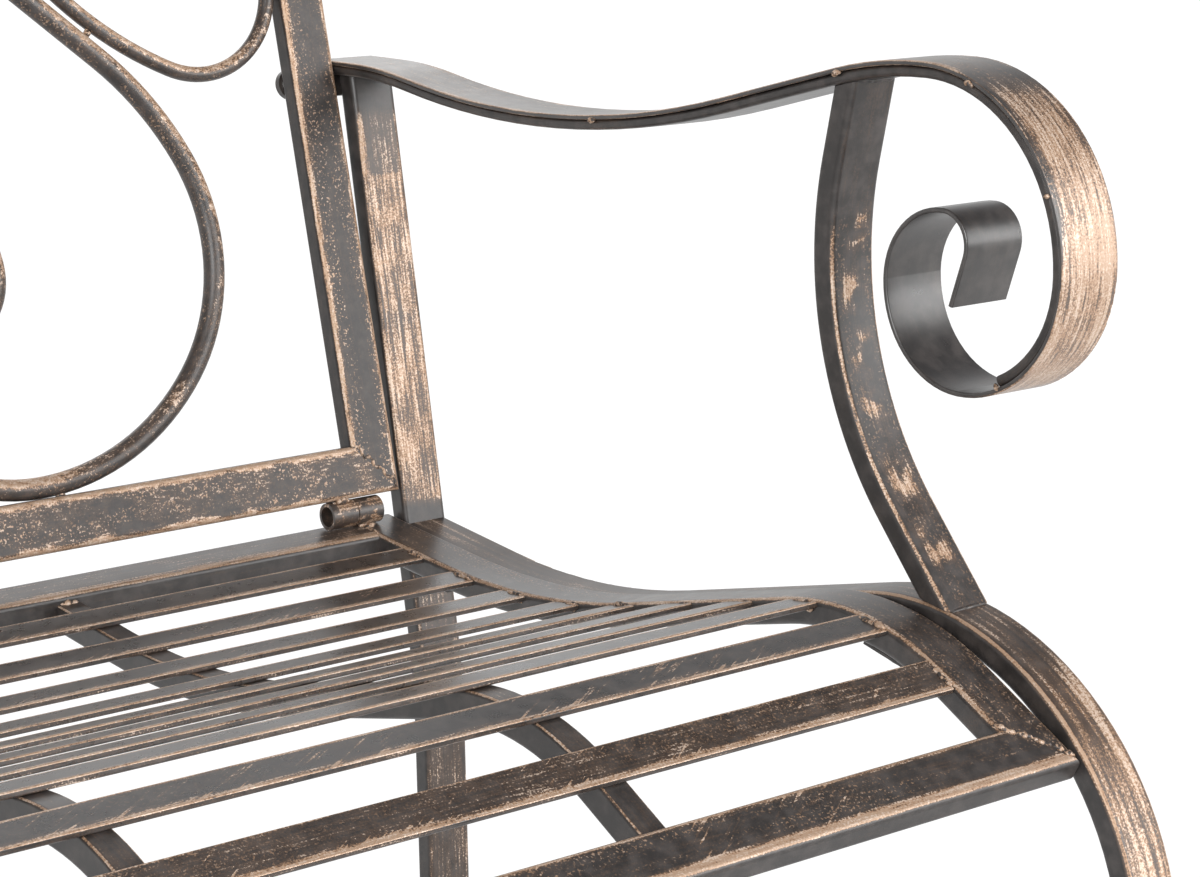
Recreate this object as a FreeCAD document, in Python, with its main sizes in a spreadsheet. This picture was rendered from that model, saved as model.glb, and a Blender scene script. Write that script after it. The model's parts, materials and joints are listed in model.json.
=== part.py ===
# Garden chair of welded steel tube: slatted seat, scroll arms and a scrollwork back on barrel hinges
import FreeCAD, Part
import math
import os
import Sketcher

V = FreeCAD.Vector
Placement = FreeCAD.Placement
Rotation = FreeCAD.Rotation
ACROSS = V(1, 0, 0)
REARWARD = V(0, 1, 0)

doc = FreeCAD.newDocument("garden_chair")
sheet = doc.addObject("Spreadsheet::Sheet", "sizes")
rows = 0
parts = {}

# Driving sizes in millimetres and degrees
SIZES = (
    ("tube_width", 23.5, "frame tube, broad side"),
    ("tube_depth", 11, "frame tube, narrow side"),
    ("tube_wall", 1.2, "frame tube, wall"),
    ("tube_corner", 2.5, "frame tube, corner radius"),
    ("brace_width", 12, "seat brace tube, broad side"),
    ("brace_depth", 12, "seat brace tube, height"),
    ("brace_wall", 1, "seat brace tube, wall"),
    ("brace_corner", 1.5, "seat brace tube, corner radius"),
    ("core_width", 28, "flat tube under the arm strip, broad side"),
    ("core_depth", 4.4, "flat tube under the arm strip, height"),
    ("core_wall", 1, "flat tube under the arm strip, wall"),
    ("core_corner", 1.8, "flat tube under the arm strip, corner radius"),
    ("strip_width", 30, "arm strip, width"),
    ("strip_depth", 2, "arm strip, thickness"),
    ("strip_corner", 0.7, "arm strip, edge radius"),
    ("slat_width", 17, "seat slat, width"),
    ("slat_depth", 2.5, "seat slat, thickness"),
    ("slat_corner", 0.7, "seat slat, edge radius"),
    ("heart_radius", 4.75, "round rod of the heart, radius"),
    ("oval_radius", 3.5, "round rod of the ovals, radius"),
    ("weld_gap", 0.05, "gap left where welded rods and tubes touch"),
    ("brace_gap", 0.15, "brace below the flat slats, so that its dip clears them"),
    ("post_gap", 0.2, "front post below the arm, so that its flat end clears the bend"),
    ("end_spare", 14, "extra length cut away at a shaped end"),
    ("seat_inner_width", 504, "clear width between the seat side rails"),
    ("seat_rear_height", 427, "top of the seat at its rear edge"),
    ("seat_fall", 5.5, "fall of the seat from its rear edge"),
    ("seat_rear_run", 67, "straight run at the rear of the seat"),
    ("seat_dip_radius", 400, "bend radius of the seat dip"),
    ("seat_dip_turn", 18.8, "turn of the seat dip"),
    ("seat_rise_run", 101, "straight rise to the knees"),
    ("seat_hump_radius", 120, "bend radius under the knees"),
    ("seat_hump_turn", 41.5, "turn under the knees"),
    ("seat_front_run", 54, "straight run to the front edge"),
    ("slat_count", 10, "number of seat slats"),
    ("slat_rear_margin", 48.5, "rear edge to the first slat centre"),
    ("slat_front_margin", 56, "front edge to the last slat centre"),
    ("slat_drop", 1, "slat top below the rail top"),
    ("brace_offset", 89.5, "brace centre from the middle of the seat"),
    ("side_gap", 1.5, "gap between the seat and each side frame"),
    ("rear_leg_set", 33.6, "rear leg centre behind the seat edge at the arm"),
    ("rear_leg_lean", 10.5, "lean of the upper rear leg"),
    ("rear_leg_upper_run", 261, "straight upper rear leg"),
    ("rear_leg_bend_radius", 300, "bend below the seat"),
    ("rear_leg_bend_turn", 8.9, "turn below the seat"),
    ("rear_leg_mid_run", 75, "straight middle of the rear leg"),
    ("rear_leg_sweep_radius", 700, "bend of the rear foot sweep"),
    ("rear_leg_sweep_turn", 15.6, "turn of the rear foot sweep"),
    ("leg_rail_start", 2, "leg rail start in front of the seat rear edge"),
    ("leg_rail_drop", 2.9, "leg rail below the seat rail at its start"),
    ("leg_rail_fall", 6.2, "fall of the leg rail from the rear leg"),
    ("leg_rail_rear_run", 64, "straight rear run of the leg rail"),
    ("leg_rail_dip_radius", 360, "bend of the leg rail dip"),
    ("leg_rail_dip_turn", 19.6, "turn of the leg rail dip"),
    ("leg_rail_rise_run", 127, "straight rise of the leg rail"),
    ("leg_rail_knee_radius", 116, "bend from rail to front leg"),
    ("leg_rail_knee_turn", 109.4, "turn from rail to front leg"),
    ("front_leg_run", 90, "straight upper front leg"),
    ("front_leg_sweep_radius", 700, "bend of the front foot sweep"),
    ("front_leg_sweep_turn", 16, "turn of the front foot sweep"),
    ("foot_depth", 3, "foot pad thickness"),
    ("foot_lip", 0.6, "foot pad past the tube"),
    ("foot_plug_length", 12, "plug of the foot inside the tube"),
    ("foot_plug_clear", 0.15, "clearance of the foot plug"),
    ("arm_rise", 207.7, "middle of the arm strip above the seat, at the rear"),
    ("arm_rear_set", 55, "arm end behind the seat rear edge"),
    ("arm_rear_run", 30.8, "flat rear run of the arm"),
    ("arm_rear_radius", 239, "bend over the rear leg"),
    ("arm_rear_turn", 9.7, "turn over the rear leg"),
    ("arm_dip_radius", 512, "bend of the elbow rest"),
    ("arm_dip_turn", 24.2, "turn of the elbow rest"),
    ("arm_rise_run", 67.5, "straight rise of the arm"),
    ("arm_crest_radius", 184, "bend of the arm crest"),
    ("arm_crest_turn", 14.5, "turn of the arm crest"),
    ("scroll_one_radius", 71.4, "first quarter of the scroll"),
    ("scroll_two_radius", 49.75, "second quarter of the scroll"),
    ("scroll_three_radius", 38.8, "third quarter of the scroll"),
    ("scroll_four_radius", 29.1, "fourth quarter of the scroll"),
    ("scroll_eye_radius", 12.5, "eye of the scroll"),
    ("scroll_eye_turn", 109, "turn of the scroll eye"),
    ("scroll_end_run", 20, "straight end inside the scroll"),
    ("quarter_turn", 90, "quarter turn"),
    ("core_end_turn", 65, "turn of the second quarter where the flat tube stops"),
    ("arm_post_gap", 25.7, "front post centre line behind the scroll"),
    ("arm_post_tuck", 7.46, "front post centre line past the underside of the arm"),
    ("arm_post_lean", 12.8, "lean of the front post at the arm"),
    ("arm_post_upper_run", 39, "straight top of the front post"),
    ("arm_post_radius", 153, "bend of the front post"),
    ("arm_post_turn", 53.8, "turn of the front post"),
    ("arm_post_lower_run", 51, "straight foot of the front post"),
    ("knuckle_radius", 6.25, "hinge barrel, outside radius"),
    ("pin_radius", 4.4, "hinge pin, radius"),
    ("pin_clear", 0.3, "running clearance round the hinge pin"),
    ("pin_recess", 6, "hinge pin end inside the open barrel"),
    ("knuckle_lift", 0.4, "hinge barrel off the rails"),
    ("knuckle_gap", 0.5, "gap between the two hinge barrels"),
    ("hinge_set", 6.5, "hinge axis in front of the seat rear edge"),
    ("hinge_inset", 3.9, "parting of the hinge barrels inside the clear width of the seat"),
    ("back_knuckle_length", 13.6, "barrel on the back"),
    ("seat_knuckle_length", 13.6, "barrel on the seat"),
    ("knuckle_weld_length", 9, "weld under a barrel, along the hinge"),
    ("knuckle_weld_depth", 6, "weld under a barrel, front to rear"),
    ("back_recline", 13.86, "recline of the back"),
    ("back_inset", 2.15, "back narrower than the seat, on each side"),
    ("arch_fall", 30, "slope of the top rail at its corners"),
    ("arch_corner_run", 8, "straight of the top rail inside its corner"),
    ("heart_bottom_set", 90, "lowest point of the heart from the middle"),
    ("heart_low_radius", 110.9, "heart side, first bend"),
    ("heart_low_turn", 49.6, "heart side, first turn"),
    ("heart_side_radius", 90.2, "heart side, second bend"),
    ("heart_side_turn", 65.5, "heart side, second turn"),
    ("heart_upper_radius", 143, "heart side, third bend"),
    ("heart_upper_turn", 23.3, "heart side, third turn"),
    ("heart_ogee_radius", 110, "bend where the heart turns up"),
    ("curl_outer_radius", 45, "heart curl, outer bend"),
    ("curl_middle_radius", 36, "heart curl, middle bend"),
    ("curl_inner_radius", 27, "heart curl, inner bend"),
    ("curl_inner_turn", 60, "heart curl, last turn"),
    ("curl_end_run", 8, "heart curl, straight end"),
    ("oval_tack_gap", 2.5, "gap between oval and heart, bridged by a tack weld"),
    ("oval_tilt", 122.4, "tilt of the oval's long axis"),
    ("oval_end_radius", 41.4, "oval, bend of its ends"),
    ("oval_side_radius", 169.3, "oval, bend of its sides"),
    ("oval_half_spacing", 70, "oval, middle to the centre of an end"),
    ("back_tab_height", 200, "back tab above the hinge"),
    ("back_tab_width", 14, "back tab, up the stile"),
    ("back_tab_wall", 3, "back tab, plate"),
    ("back_tab_overlap", 20, "back tab across the end of the arm"),
    ("back_tab_rest", 0.2, "back rest gap at its stop"),
    ("back_bolt_inset", 6.5, "back bolt from the stile's inner face"),
    ("back_bolt_shank_radius", 2.5, "back bolt, shank radius"),
    ("back_bolt_shank_length", 11.5, "back bolt, shank length"),
    ("back_bolt_head_radius", 5, "back bolt, head radius"),
    ("back_bolt_head_height", 2.8, "back bolt, head height"),
    ("back_bolt_washer_radius", 5.5, "back bolt, washer radius"),
    ("back_bolt_washer_depth", 1, "back bolt, washer thickness"),
    ("back_bolt_nut_radius", 3.9, "back insert nut, sleeve radius"),
    ("back_bolt_nut_clear", 0.6, "back insert nut, clearance to the shank"),
    ("back_bolt_nut_seat", 0.05, "back insert nut, flange off the stile"),
    ("back_bolt_nut_length", 8, "back insert nut, sleeve length"),
    ("back_bolt_flange_radius", 5, "back insert nut, flange radius"),
    ("back_bolt_flange_depth", 0.8, "back insert nut, flange thickness"),
    ("seat_bracket_wall", 1.2, "seat bracket, plate"),
    ("seat_bracket_length", 24, "seat bracket, along the rail"),
    ("seat_bracket_rise", 9, "seat bracket, upright above the rail's underside"),
    ("seat_bracket_margin", 3, "seat bracket short of the rail's inner face"),
    ("seat_bolt_rear_set", 60, "rear seat bolt from the rear edge"),
    ("seat_bolt_front_set", 354, "front seat bolt from the rear edge"),
    ("seat_bolt_shank_radius", 3, "seat bolt, shank radius"),
    ("seat_bolt_shank_length", 10.6, "seat bolt, shank length"),
    ("seat_bolt_head_radius", 6, "seat bolt, head radius"),
    ("seat_bolt_head_height", 3.3, "seat bolt, head height"),
    ("seat_bolt_washer_radius", 6.5, "seat bolt, washer radius"),
    ("seat_bolt_washer_depth", 1.2, "seat bolt, washer thickness"),
    ("seat_bolt_nut_radius", 4.4, "seat insert nut, sleeve radius"),
    ("seat_bolt_nut_clear", 0.1, "seat insert nut, clearance to the shank"),
    ("seat_bolt_nut_seat", 0.25, "seat insert nut, flange off the rail, so that it clears the bend"),
    ("seat_bolt_nut_length", 7.5, "seat insert nut, sleeve length"),
    ("seat_bolt_flange_radius", 6, "seat insert nut, flange radius"),
    ("seat_bolt_flange_depth", 0.8, "seat insert nut, flange thickness"),
    ("hole_clear", 0.3, "clearance of a hole round its fastener"),
)

# Sizes that follow from the driving ones
DERIVED = (
    ("arm_rear_height", "=seat_rear_height + arm_rise", "middle of the arm strip at the rear"),
    ("core_drop", "=(strip_depth + core_depth) / 2 + weld_gap", "arm strip middle to flat tube middle"),
    ("core_rear_radius", "=arm_rear_radius - core_drop", "flat tube over the rear leg"),
    ("core_dip_radius", "=arm_dip_radius + core_drop", "flat tube of the elbow rest"),
    ("core_crest_radius", "=arm_crest_radius - core_drop", "flat tube of the arm crest"),
    ("core_one_radius", "=scroll_one_radius - core_drop", "flat tube, first scroll quarter"),
    ("core_two_radius", "=scroll_two_radius - core_drop", "flat tube, second scroll quarter"),
    ("brace_top", "=slat_drop + slat_depth + brace_gap", "seat rail top to the top of a brace"),
    ("brace_drop", "=brace_top + (brace_depth - tube_depth) / 2", "seat rail middle to brace middle"),
    ("brace_rear_run", "=seat_rear_run - tube_width - weld_gap", "straight rear run of a brace"),
    ("brace_dip_radius", "=seat_dip_radius + brace_drop", "bend of a brace in the dip"),
    ("brace_hump_radius", "=seat_hump_radius - brace_drop", "bend of a brace under the knees"),
    ("brace_front_run", "=seat_front_run - tube_width - weld_gap", "straight front run of a brace"),
    ("seat_outer_width", "=seat_inner_width + 2 * tube_width", "seat over its side rails"),
    ("side_rail_place", "=(seat_inner_width + tube_width) / 2", "seat side rail from the middle"),
    ("side_frame_face", "=seat_outer_width / 2 + side_gap", "inner face of a side frame from the middle"),
    ("side_frame_place", "=side_frame_face + tube_width / 2", "side frame from the middle"),
    ("back_half_width", "=seat_outer_width / 2 - back_inset", "back, middle to outer edge"),
    ("hinge_outset", "=seat_inner_width / 2 - hinge_inset", "parting of the hinge barrels from the middle"),
    ("back_bottom_lift", "=knuckle_radius + knuckle_lift", "hinge axis to the bottom rail"),
    ("stile_place", "=back_half_width - tube_width / 2", "stile from the middle"),
    ("stile_face", "=back_half_width - tube_width", "inner face of a stile from the middle"),
    ("arch_turn", "=2 * arch_fall", "turn of the top rail"),
    ("arch_half_width", "=stile_place - arch_corner_run * cos(arch_fall)", "half of the top rail's bend"),
    ("arch_radius", "=arch_half_width / sin(arch_fall)", "bend of the top rail"),
    ("heart_lobe_radius", "=heart_bottom_set - heart_radius - weld_gap", "heart, inner quarter"),
    ("heart_turn", "=heart_low_turn + heart_side_turn + heart_upper_turn", "turn of the heart's side"),
    ("heart_ogee_turn", "=heart_turn - quarter_turn", "turn up of the heart"),
    ("knuckle_bore", "=pin_radius + pin_clear", "hinge barrel, bore radius"),
    ("pin_length", "=back_knuckle_length + seat_knuckle_length - pin_recess", "hinge pin, length"),
)


def put(alias, value, note):
    """Write one size, a number or a formula, to the next row of the sheet."""
    global rows
    rows += 1
    sheet.set(f"A{rows}", note)
    sheet.set(f"B{rows}", str(value))
    sheet.setAlias(f"B{rows}", alias)


def size(alias):
    """Read one size back as a number."""
    return float(sheet.get(alias))


def toward(degrees):
    """Unit vector in a drawing plane."""
    return V(math.cos(math.radians(degrees)), math.sin(math.radians(degrees)), 0)


class Course:
    """Straight runs and tangent bends in one plane, each told by the names of its sizes."""

    # First and last point of a drawn line or arc; arcs are drawn to the left
    ends = {"run": (1, 2), "left": (1, 2), "right": (2, 1)}

    def __init__(self, start, heading, moves):
        self.legs = []
        here = V(start.x, start.y, 0)
        for kind, *names in moves:
            leg = {"kind": kind, "names": names, "start": here, "heading": heading}
            if kind == "run":
                leg["length"] = sum(size(name) for name in names)
                here = here + toward(heading) * leg["length"]
            else:
                leg["radius"], leg["turn"] = size(names[0]), size(names[1])
                leg["side"] = 1 if kind == "left" else -1
                leg["length"] = leg["radius"] * math.radians(leg["turn"])
                leg["centre"] = here + toward(heading + 90 * leg["side"]) * leg["radius"]
                heading += leg["side"] * leg["turn"]
                here = leg["centre"] - toward(heading + 90 * leg["side"]) * leg["radius"]
            self.legs.append(leg)
        self.length = sum(leg["length"] for leg in self.legs)

    def at(self, along):
        """Point and heading at a distance along the course."""
        for leg in self.legs:
            if along <= leg["length"] or leg is self.legs[-1]:
                break
            along -= leg["length"]
        if leg["kind"] == "run":
            return leg["start"] + toward(leg["heading"]) * along, leg["heading"]
        heading = leg["heading"] + leg["side"] * math.degrees(along / leg["radius"])
        return leg["centre"] - toward(heading + 90 * leg["side"]) * leg["radius"], heading

    def beside(self, along, left):
        """Point to the left of the course at a distance along it."""
        point, heading = self.at(along)
        return point + toward(heading + 90) * left

    def samples(self, left=0, step=0.5):
        """Points beside the whole course."""
        count = int(self.length / step)
        return [self.beside(self.length * i / count, left) for i in range(count + 1)]

    def nearest(self, point, step=0.5):
        """Distance along the course to the place nearest a point."""
        count = int(self.length / step)
        places = [self.length * i / count for i in range(count + 1)]
        return min(places, key=lambda along: (self.at(along)[0] - point).Length)

    def reach(self, x, step=0.5):
        """Distance along the course to the first place in front of a line."""
        along = 0
        while self.at(along)[0].x > x and along < self.length:
            along += step
        return along

    def draw(self, sketch):
        """Draw the course and tie its lengths, radii and turns to the sheet."""
        last = None
        for index, leg in enumerate(self.legs):
            first_point, end_point = self.ends[leg["kind"]]
            if leg["kind"] == "run":
                end = leg["start"] + toward(leg["heading"]) * leg["length"]
                sketch.addGeometry(Part.LineSegment(leg["start"], end))
                total = " + ".join(f"sizes.{name}" for name in leg["names"])
                bind(sketch, f"run_{index}", total, "Distance", index, leg["length"])
            else:
                start_angle = leg["heading"] - 90 * leg["side"]
                angles = sorted((start_angle, start_angle + leg["side"] * leg["turn"]))
                circle = Part.Circle(leg["centre"], V(0, 0, 1), leg["radius"])
                sketch.addGeometry(Part.ArcOfCircle(circle, *(math.radians(angle) for angle in angles)))
                radius, turn = (f"sizes.{name}" for name in leg["names"])
                bind(sketch, f"radius_{index}", radius, "Radius", index, leg["radius"])
                bind(sketch, f"turn_{index}", turn, "Angle", index, math.radians(leg["turn"]))
            if last is None:
                self.pin_start(sketch, leg, first_point)
            else:
                sketch.addConstraint(Sketcher.Constraint("Tangent", index - 1, last, index, first_point))
            last = end_point

    def pin_start(self, sketch, leg, first_point):
        """Hold the first leg of the course in place."""
        if leg["kind"] == "run":
            place, held = leg["start"], first_point
            aim = ("Angle", 0, math.radians(leg["heading"]))
        else:
            place, held = leg["centre"], 3
            aim = ("DistanceX", 0, first_point, leg["start"].x)
        for constraint in (("DistanceX", 0, held, place.x), ("DistanceY", 0, held, place.y), aim):
            sketch.addConstraint(Sketcher.Constraint(*constraint))


def bind(sketch, name, formula, *constraint):
    """Add a named constraint and tie it to the sheet."""
    index = sketch.addConstraint(Sketcher.Constraint(*constraint))
    sketch.renameConstraint(index, name)
    sketch.setExpression(f"Constraints.{name}", formula)


def new_body(name):
    return doc.addObject("PartDesign::Body", name)


def new_sketch(body, name, role, offset=None):
    """Sketch on one of the body's own planes, moved by an offset when given."""
    sketch = body.newObject("Sketcher::SketchObject", name)
    plane = next(feature for feature in body.Origin.OriginFeatures if feature.Role == role)
    sketch.AttachmentSupport = [(plane, "")]
    sketch.MapMode = "FlatFace"
    if offset:
        sketch.AttachmentOffset = offset
    return sketch


def draw_box(sketch, width, depth, corner, formulas):
    """Rounded rectangle about the sketch's origin, tied to three formulas."""
    first = sketch.GeometryCount
    x, y = width / 2, depth / 2
    flats = (
        (V(corner - x, y), V(x - corner, y)),
        (V(x, y - corner), V(x, corner - y)),
        (V(x - corner, -y), V(corner - x, -y)),
        (V(-x, corner - y), V(-x, y - corner)),
    )
    for start, end in flats:
        sketch.addGeometry(Part.LineSegment(start, end))
    a, b = x - corner, y - corner
    for index, centre in enumerate((V(a, b), V(a, -b), V(-a, -b), V(-a, b))):
        start = -90 * index
        circle = Part.Circle(centre, V(0, 0, 1), corner)
        sketch.addGeometry(Part.ArcOfCircle(circle, math.radians(start), math.radians(start + 90)))
    for index in range(4):
        flat, following, bend = first + index, first + (index + 1) % 4, first + 4 + index
        sketch.addConstraint(Sketcher.Constraint("Tangent", flat, 2, bend, 2))
        sketch.addConstraint(Sketcher.Constraint("Tangent", following, 1, bend, 1))
        sketch.addConstraint(Sketcher.Constraint("Vertical" if index % 2 else "Horizontal", flat))
        if index:
            sketch.addConstraint(Sketcher.Constraint("Equal", first + 4, bend))
    sketch.addConstraint(Sketcher.Constraint("Symmetric", first, 1, first + 2, 1, -1, 1))
    bind(sketch, f"width_{first}", formulas[0], "DistanceX", first + 3, 1, first + 1, 1, width)
    bind(sketch, f"depth_{first}", formulas[1], "DistanceY", first + 2, 1, first, 1, depth)
    bind(sketch, f"corner_{first}", formulas[2], "Radius", first + 4, corner)


def draw_bar(sketch, stock):
    """Section of a solid bar with rounded edges."""
    names = [f"{stock}_{part}" for part in ("width", "depth", "corner")]
    draw_box(sketch, *(size(name) for name in names), [f"sizes.{name}" for name in names])


def draw_tube(sketch, stock):
    """Section of a hollow tube."""
    draw_bar(sketch, stock)
    wall = size(f"{stock}_wall")
    width, depth, corner = (size(f"{stock}_{part}") for part in ("width", "depth", "corner"))
    formulas = (
        f"sizes.{stock}_width - 2 * sizes.{stock}_wall",
        f"sizes.{stock}_depth - 2 * sizes.{stock}_wall",
        f"sizes.{stock}_corner - sizes.{stock}_wall",
    )
    draw_box(sketch, width - 2 * wall, depth - 2 * wall, corner - wall, formulas)


def draw_circle(sketch, name, formula, radius, centre=V()):
    """Circle at a place in the sketch, its radius tied to a formula."""
    index = sketch.addGeometry(Part.Circle(centre, V(0, 0, 1), radius))
    sketch.addConstraint(Sketcher.Constraint("DistanceX", index, 3, centre.x))
    sketch.addConstraint(Sketcher.Constraint("DistanceY", index, 3, centre.y))
    bind(sketch, name, formula, "Radius", index, radius)


def draw_rod(sketch, stock):
    """Section of a round rod."""
    draw_circle(sketch, "rod", f"sizes.{stock}_radius", size(f"{stock}_radius"))


def draw_tab(sketch, centre, half, end):
    """Bar outline with one round end about a bolt and one square end."""
    sketch.addGeometry(Part.LineSegment(V(end, centre.y + half), V(centre.x, centre.y + half)))
    circle = Part.Circle(centre, V(0, 0, 1), half)
    sketch.addGeometry(Part.ArcOfCircle(circle, math.radians(90), math.radians(270)))
    sketch.addGeometry(Part.LineSegment(V(centre.x, centre.y - half), V(end, centre.y - half)))
    sketch.addGeometry(Part.LineSegment(V(end, centre.y - half), V(end, centre.y + half)))
    constraints = (
        ("Tangent", 0, 2, 1, 1),
        ("Tangent", 1, 2, 2, 1),
        ("Coincident", 2, 2, 3, 1),
        ("Coincident", 3, 2, 0, 1),
        ("Horizontal", 0),
        ("Vertical", 3),
        ("DistanceX", 1, 3, centre.x),
        ("DistanceY", 1, 3, centre.y),
    )
    for constraint in constraints:
        sketch.addConstraint(Sketcher.Constraint(*constraint))
    bind(sketch, "half_width", "sizes.back_tab_width / 2", "Radius", 1, half)
    bind(sketch, "tab_end", "sizes.side_frame_face + sizes.back_tab_overlap", "DistanceX", 3, 1, end)


def bent(name, course, plane, draw_section, stock):
    """Sweep a section along a course in the side plane or in the plane of the back."""
    body = new_body(name)
    start, heading = course.legs[0]["start"], course.legs[0]["heading"]
    if plane == "side":
        role, square = "YZ_Plane", ACROSS
        base, turn = V(0, start.x, start.y), heading - 90
    else:
        role, square = "XZ_Plane", REARWARD
        base, turn = V(start.x, 0, start.y), 90 - heading
    path = new_sketch(body, f"{name}_path", role)
    course.draw(path)
    section = new_sketch(body, f"{name}_section", "XY_Plane", Placement(base, Rotation(square, turn)))
    draw_section(section, stock)
    doc.recompute([path, section])
    pipe = body.newObject("PartDesign::AdditivePipe", f"{name}_sweep")
    pipe.Profile = section
    pipe.Spine = (path, [f"Edge{index + 1}" for index in range(len(course.legs))])
    pipe.Mode = "Binormal"
    pipe.Binormal = square
    return body


def straight(name, draw_section, stock, length):
    """Pad a section evenly to both sides along the chair's width."""
    body = new_body(name)
    section = new_sketch(body, f"{name}_section", "YZ_Plane")
    draw_section(section, stock)
    pad(body, section, f"{name}_pad", f"sizes.{length}", "Symmetric")
    return body


def pad(body, sketch, name, formula, sides="One side"):
    feature = body.newObject("PartDesign::Pad", name)
    feature.Profile = sketch
    feature.SideType = sides
    feature.setExpression("Length", formula)
    return feature


def draw_loop(sketch, corners):
    """Closed outline through fixed corners."""
    first = sketch.GeometryCount
    for index, corner in enumerate(corners):
        sketch.addGeometry(Part.LineSegment(corner, corners[(index + 1) % len(corners)]))
        sketch.addConstraint(Sketcher.Constraint("Block", first + index))


def pocket(body, sketch, name, formula=None, reverse=False):
    """Cut a sketch right through, or to a depth told by a formula."""
    feature = body.newObject("PartDesign::Pocket", name)
    feature.Profile = sketch
    if formula:
        feature.Reversed = reverse
        feature.setExpression("Length", formula)
    else:
        feature.Type = "ThroughAll"
        feature.SideType = "Symmetric"
    return feature


def trim(body, name, role, point, heading):
    """Cut off what lies to the left of a line."""
    reach = 4 * size("end_spare")
    ends = point - toward(heading) * reach, point + toward(heading) * reach
    aside = toward(heading + 90) * reach
    sketch = new_sketch(body, name, role)
    draw_loop(sketch, [ends[0], ends[1], ends[1] + aside, ends[0] + aside])
    pocket(body, sketch, f"{name}_cut")


def keep(name, shape_object):
    """Name a finished piece."""
    shape_object.Label = name
    parts[name] = shape_object
    return shape_object


def mirrored(name, source):
    """The same piece on the other side of the chair."""
    twin = doc.addObject("Part::Mirroring", name)
    twin.Source = source
    twin.Normal = ACROSS
    return twin


def keep_pair(name, source):
    """Name a piece of the right side and mirror it to the left."""
    keep(f"{name}_right", source)
    keep(f"{name}_left", mirrored(f"{name}_left", source))


def keep_group(name, members):
    """Name a group of equal pieces, those of the right side and their twins on the left."""
    group = doc.addObject("Part::Compound", name)
    group.Links = members + [mirrored(f"{member.Name}_twin", member) for member in members]
    return keep(name, group)


def set_side(body, place):
    """Stand a piece drawn in the side plane at its distance from the middle."""
    body.setExpression("Placement.Base.x", f"sizes.{place}")
    body.setExpression("Placement.Base.y", "sizes.depth_shift")


for row in SIZES + DERIVED:
    put(*row)
doc.recompute()

# Courses of the seat, seen from the side with the front to the left
up = -1
seat_start = V(0, size("seat_rear_height") - size("tube_depth") / 2)
seat_moves = (
    ("run", "seat_rear_run"),
    ("right", "seat_dip_radius", "seat_dip_turn"),
    ("run", "seat_rise_run"),
    ("left", "seat_hump_radius", "seat_hump_turn"),
    ("run", "seat_front_run"),
)
seat = Course(seat_start, 180 + size("seat_fall"), seat_moves)
brace_moves = (
    ("run", "brace_rear_run"),
    ("right", "brace_dip_radius", "seat_dip_turn"),
    ("run", "seat_rise_run"),
    ("left", "brace_hump_radius", "seat_hump_turn"),
    ("run", "brace_front_run"),
)
brace_start = seat.beside(size("tube_width") + size("weld_gap"), size("brace_drop"))
brace = Course(brace_start, 180 + size("seat_fall"), brace_moves)

# Courses of the arm strip and the flat tube under it
elbow_moves = (
    ("run", "arm_rear_run"),
    ("left", "arm_rear_radius", "arm_rear_turn"),
    ("right", "arm_dip_radius", "arm_dip_turn"),
    ("run", "arm_rise_run"),
    ("left", "arm_crest_radius", "arm_crest_turn"),
)
scroll_moves = (
    ("left", "scroll_one_radius", "quarter_turn"),
    ("left", "scroll_two_radius", "quarter_turn"),
    ("left", "scroll_three_radius", "quarter_turn"),
    ("left", "scroll_four_radius", "quarter_turn"),
    ("left", "scroll_eye_radius", "scroll_eye_turn"),
    ("run", "scroll_end_run"),
)
arm_start = V(size("arm_rear_set"), size("arm_rear_height"))
arm = Course(arm_start, 180, elbow_moves + scroll_moves)
elbow = Course(arm_start, 180, elbow_moves)
scroll = Course(*elbow.at(elbow.length), scroll_moves)
core_moves = (
    ("run", "arm_rear_run"),
    ("left", "core_rear_radius", "arm_rear_turn"),
    ("right", "core_dip_radius", "arm_dip_turn"),
    ("run", "arm_rise_run"),
    ("left", "core_crest_radius", "arm_crest_turn"),
    ("left", "core_one_radius", "quarter_turn"),
    ("left", "core_two_radius", "core_end_turn"),
)
core = Course(arm_start - V(0, size("core_drop")), 180, core_moves)
arm_underside = size("arm_rear_height") - size("core_drop") - size("core_depth") / 2 - size("weld_gap")

# Course of the rear leg, from the arm down to its foot
lean = 270 - size("rear_leg_lean")
rear_leg_top = V(size("rear_leg_set"), arm_underside) - toward(lean) * size("end_spare")
rear_leg_moves = [
    ("run", "end_spare", "rear_leg_upper_run"),
    ("left", "rear_leg_bend_radius", "rear_leg_bend_turn"),
    ("run", "rear_leg_mid_run"),
    ("left", "rear_leg_sweep_radius", "rear_leg_sweep_turn"),
]


def run_to_floor(leg, start, heading, moves):
    """End a leg with the straight run that takes it down to its foot pad."""
    bends = Course(start, heading, moves)
    end, final = bends.at(bends.length)
    last_run = (end.y - size("foot_depth")) / -toward(final).y
    put(f"{leg}_leg_last_run", last_run, f"straight end of the {leg} leg")
    doc.recompute()
    return Course(start, heading, moves + [("run", f"{leg}_leg_last_run", "end_spare")])


rear_leg = run_to_floor("rear", rear_leg_top, lean, rear_leg_moves)

# Course of the leg rail, from the rear leg over the knee to the front foot
leg_rail_height = size("seat_rear_height") - size("leg_rail_drop") - size("tube_depth") / 2
leg_rail_top = V(-size("leg_rail_start"), leg_rail_height)
leg_rail_moves = [
    ("run", "leg_rail_rear_run"),
    ("right", "leg_rail_dip_radius", "leg_rail_dip_turn"),
    ("run", "leg_rail_rise_run"),
    ("left", "leg_rail_knee_radius", "leg_rail_knee_turn"),
    ("run", "front_leg_run"),
    ("right", "front_leg_sweep_radius", "front_leg_sweep_turn"),
]
leg_rail = run_to_floor("front", leg_rail_top, 180 + size("leg_rail_fall"), leg_rail_moves)

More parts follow.
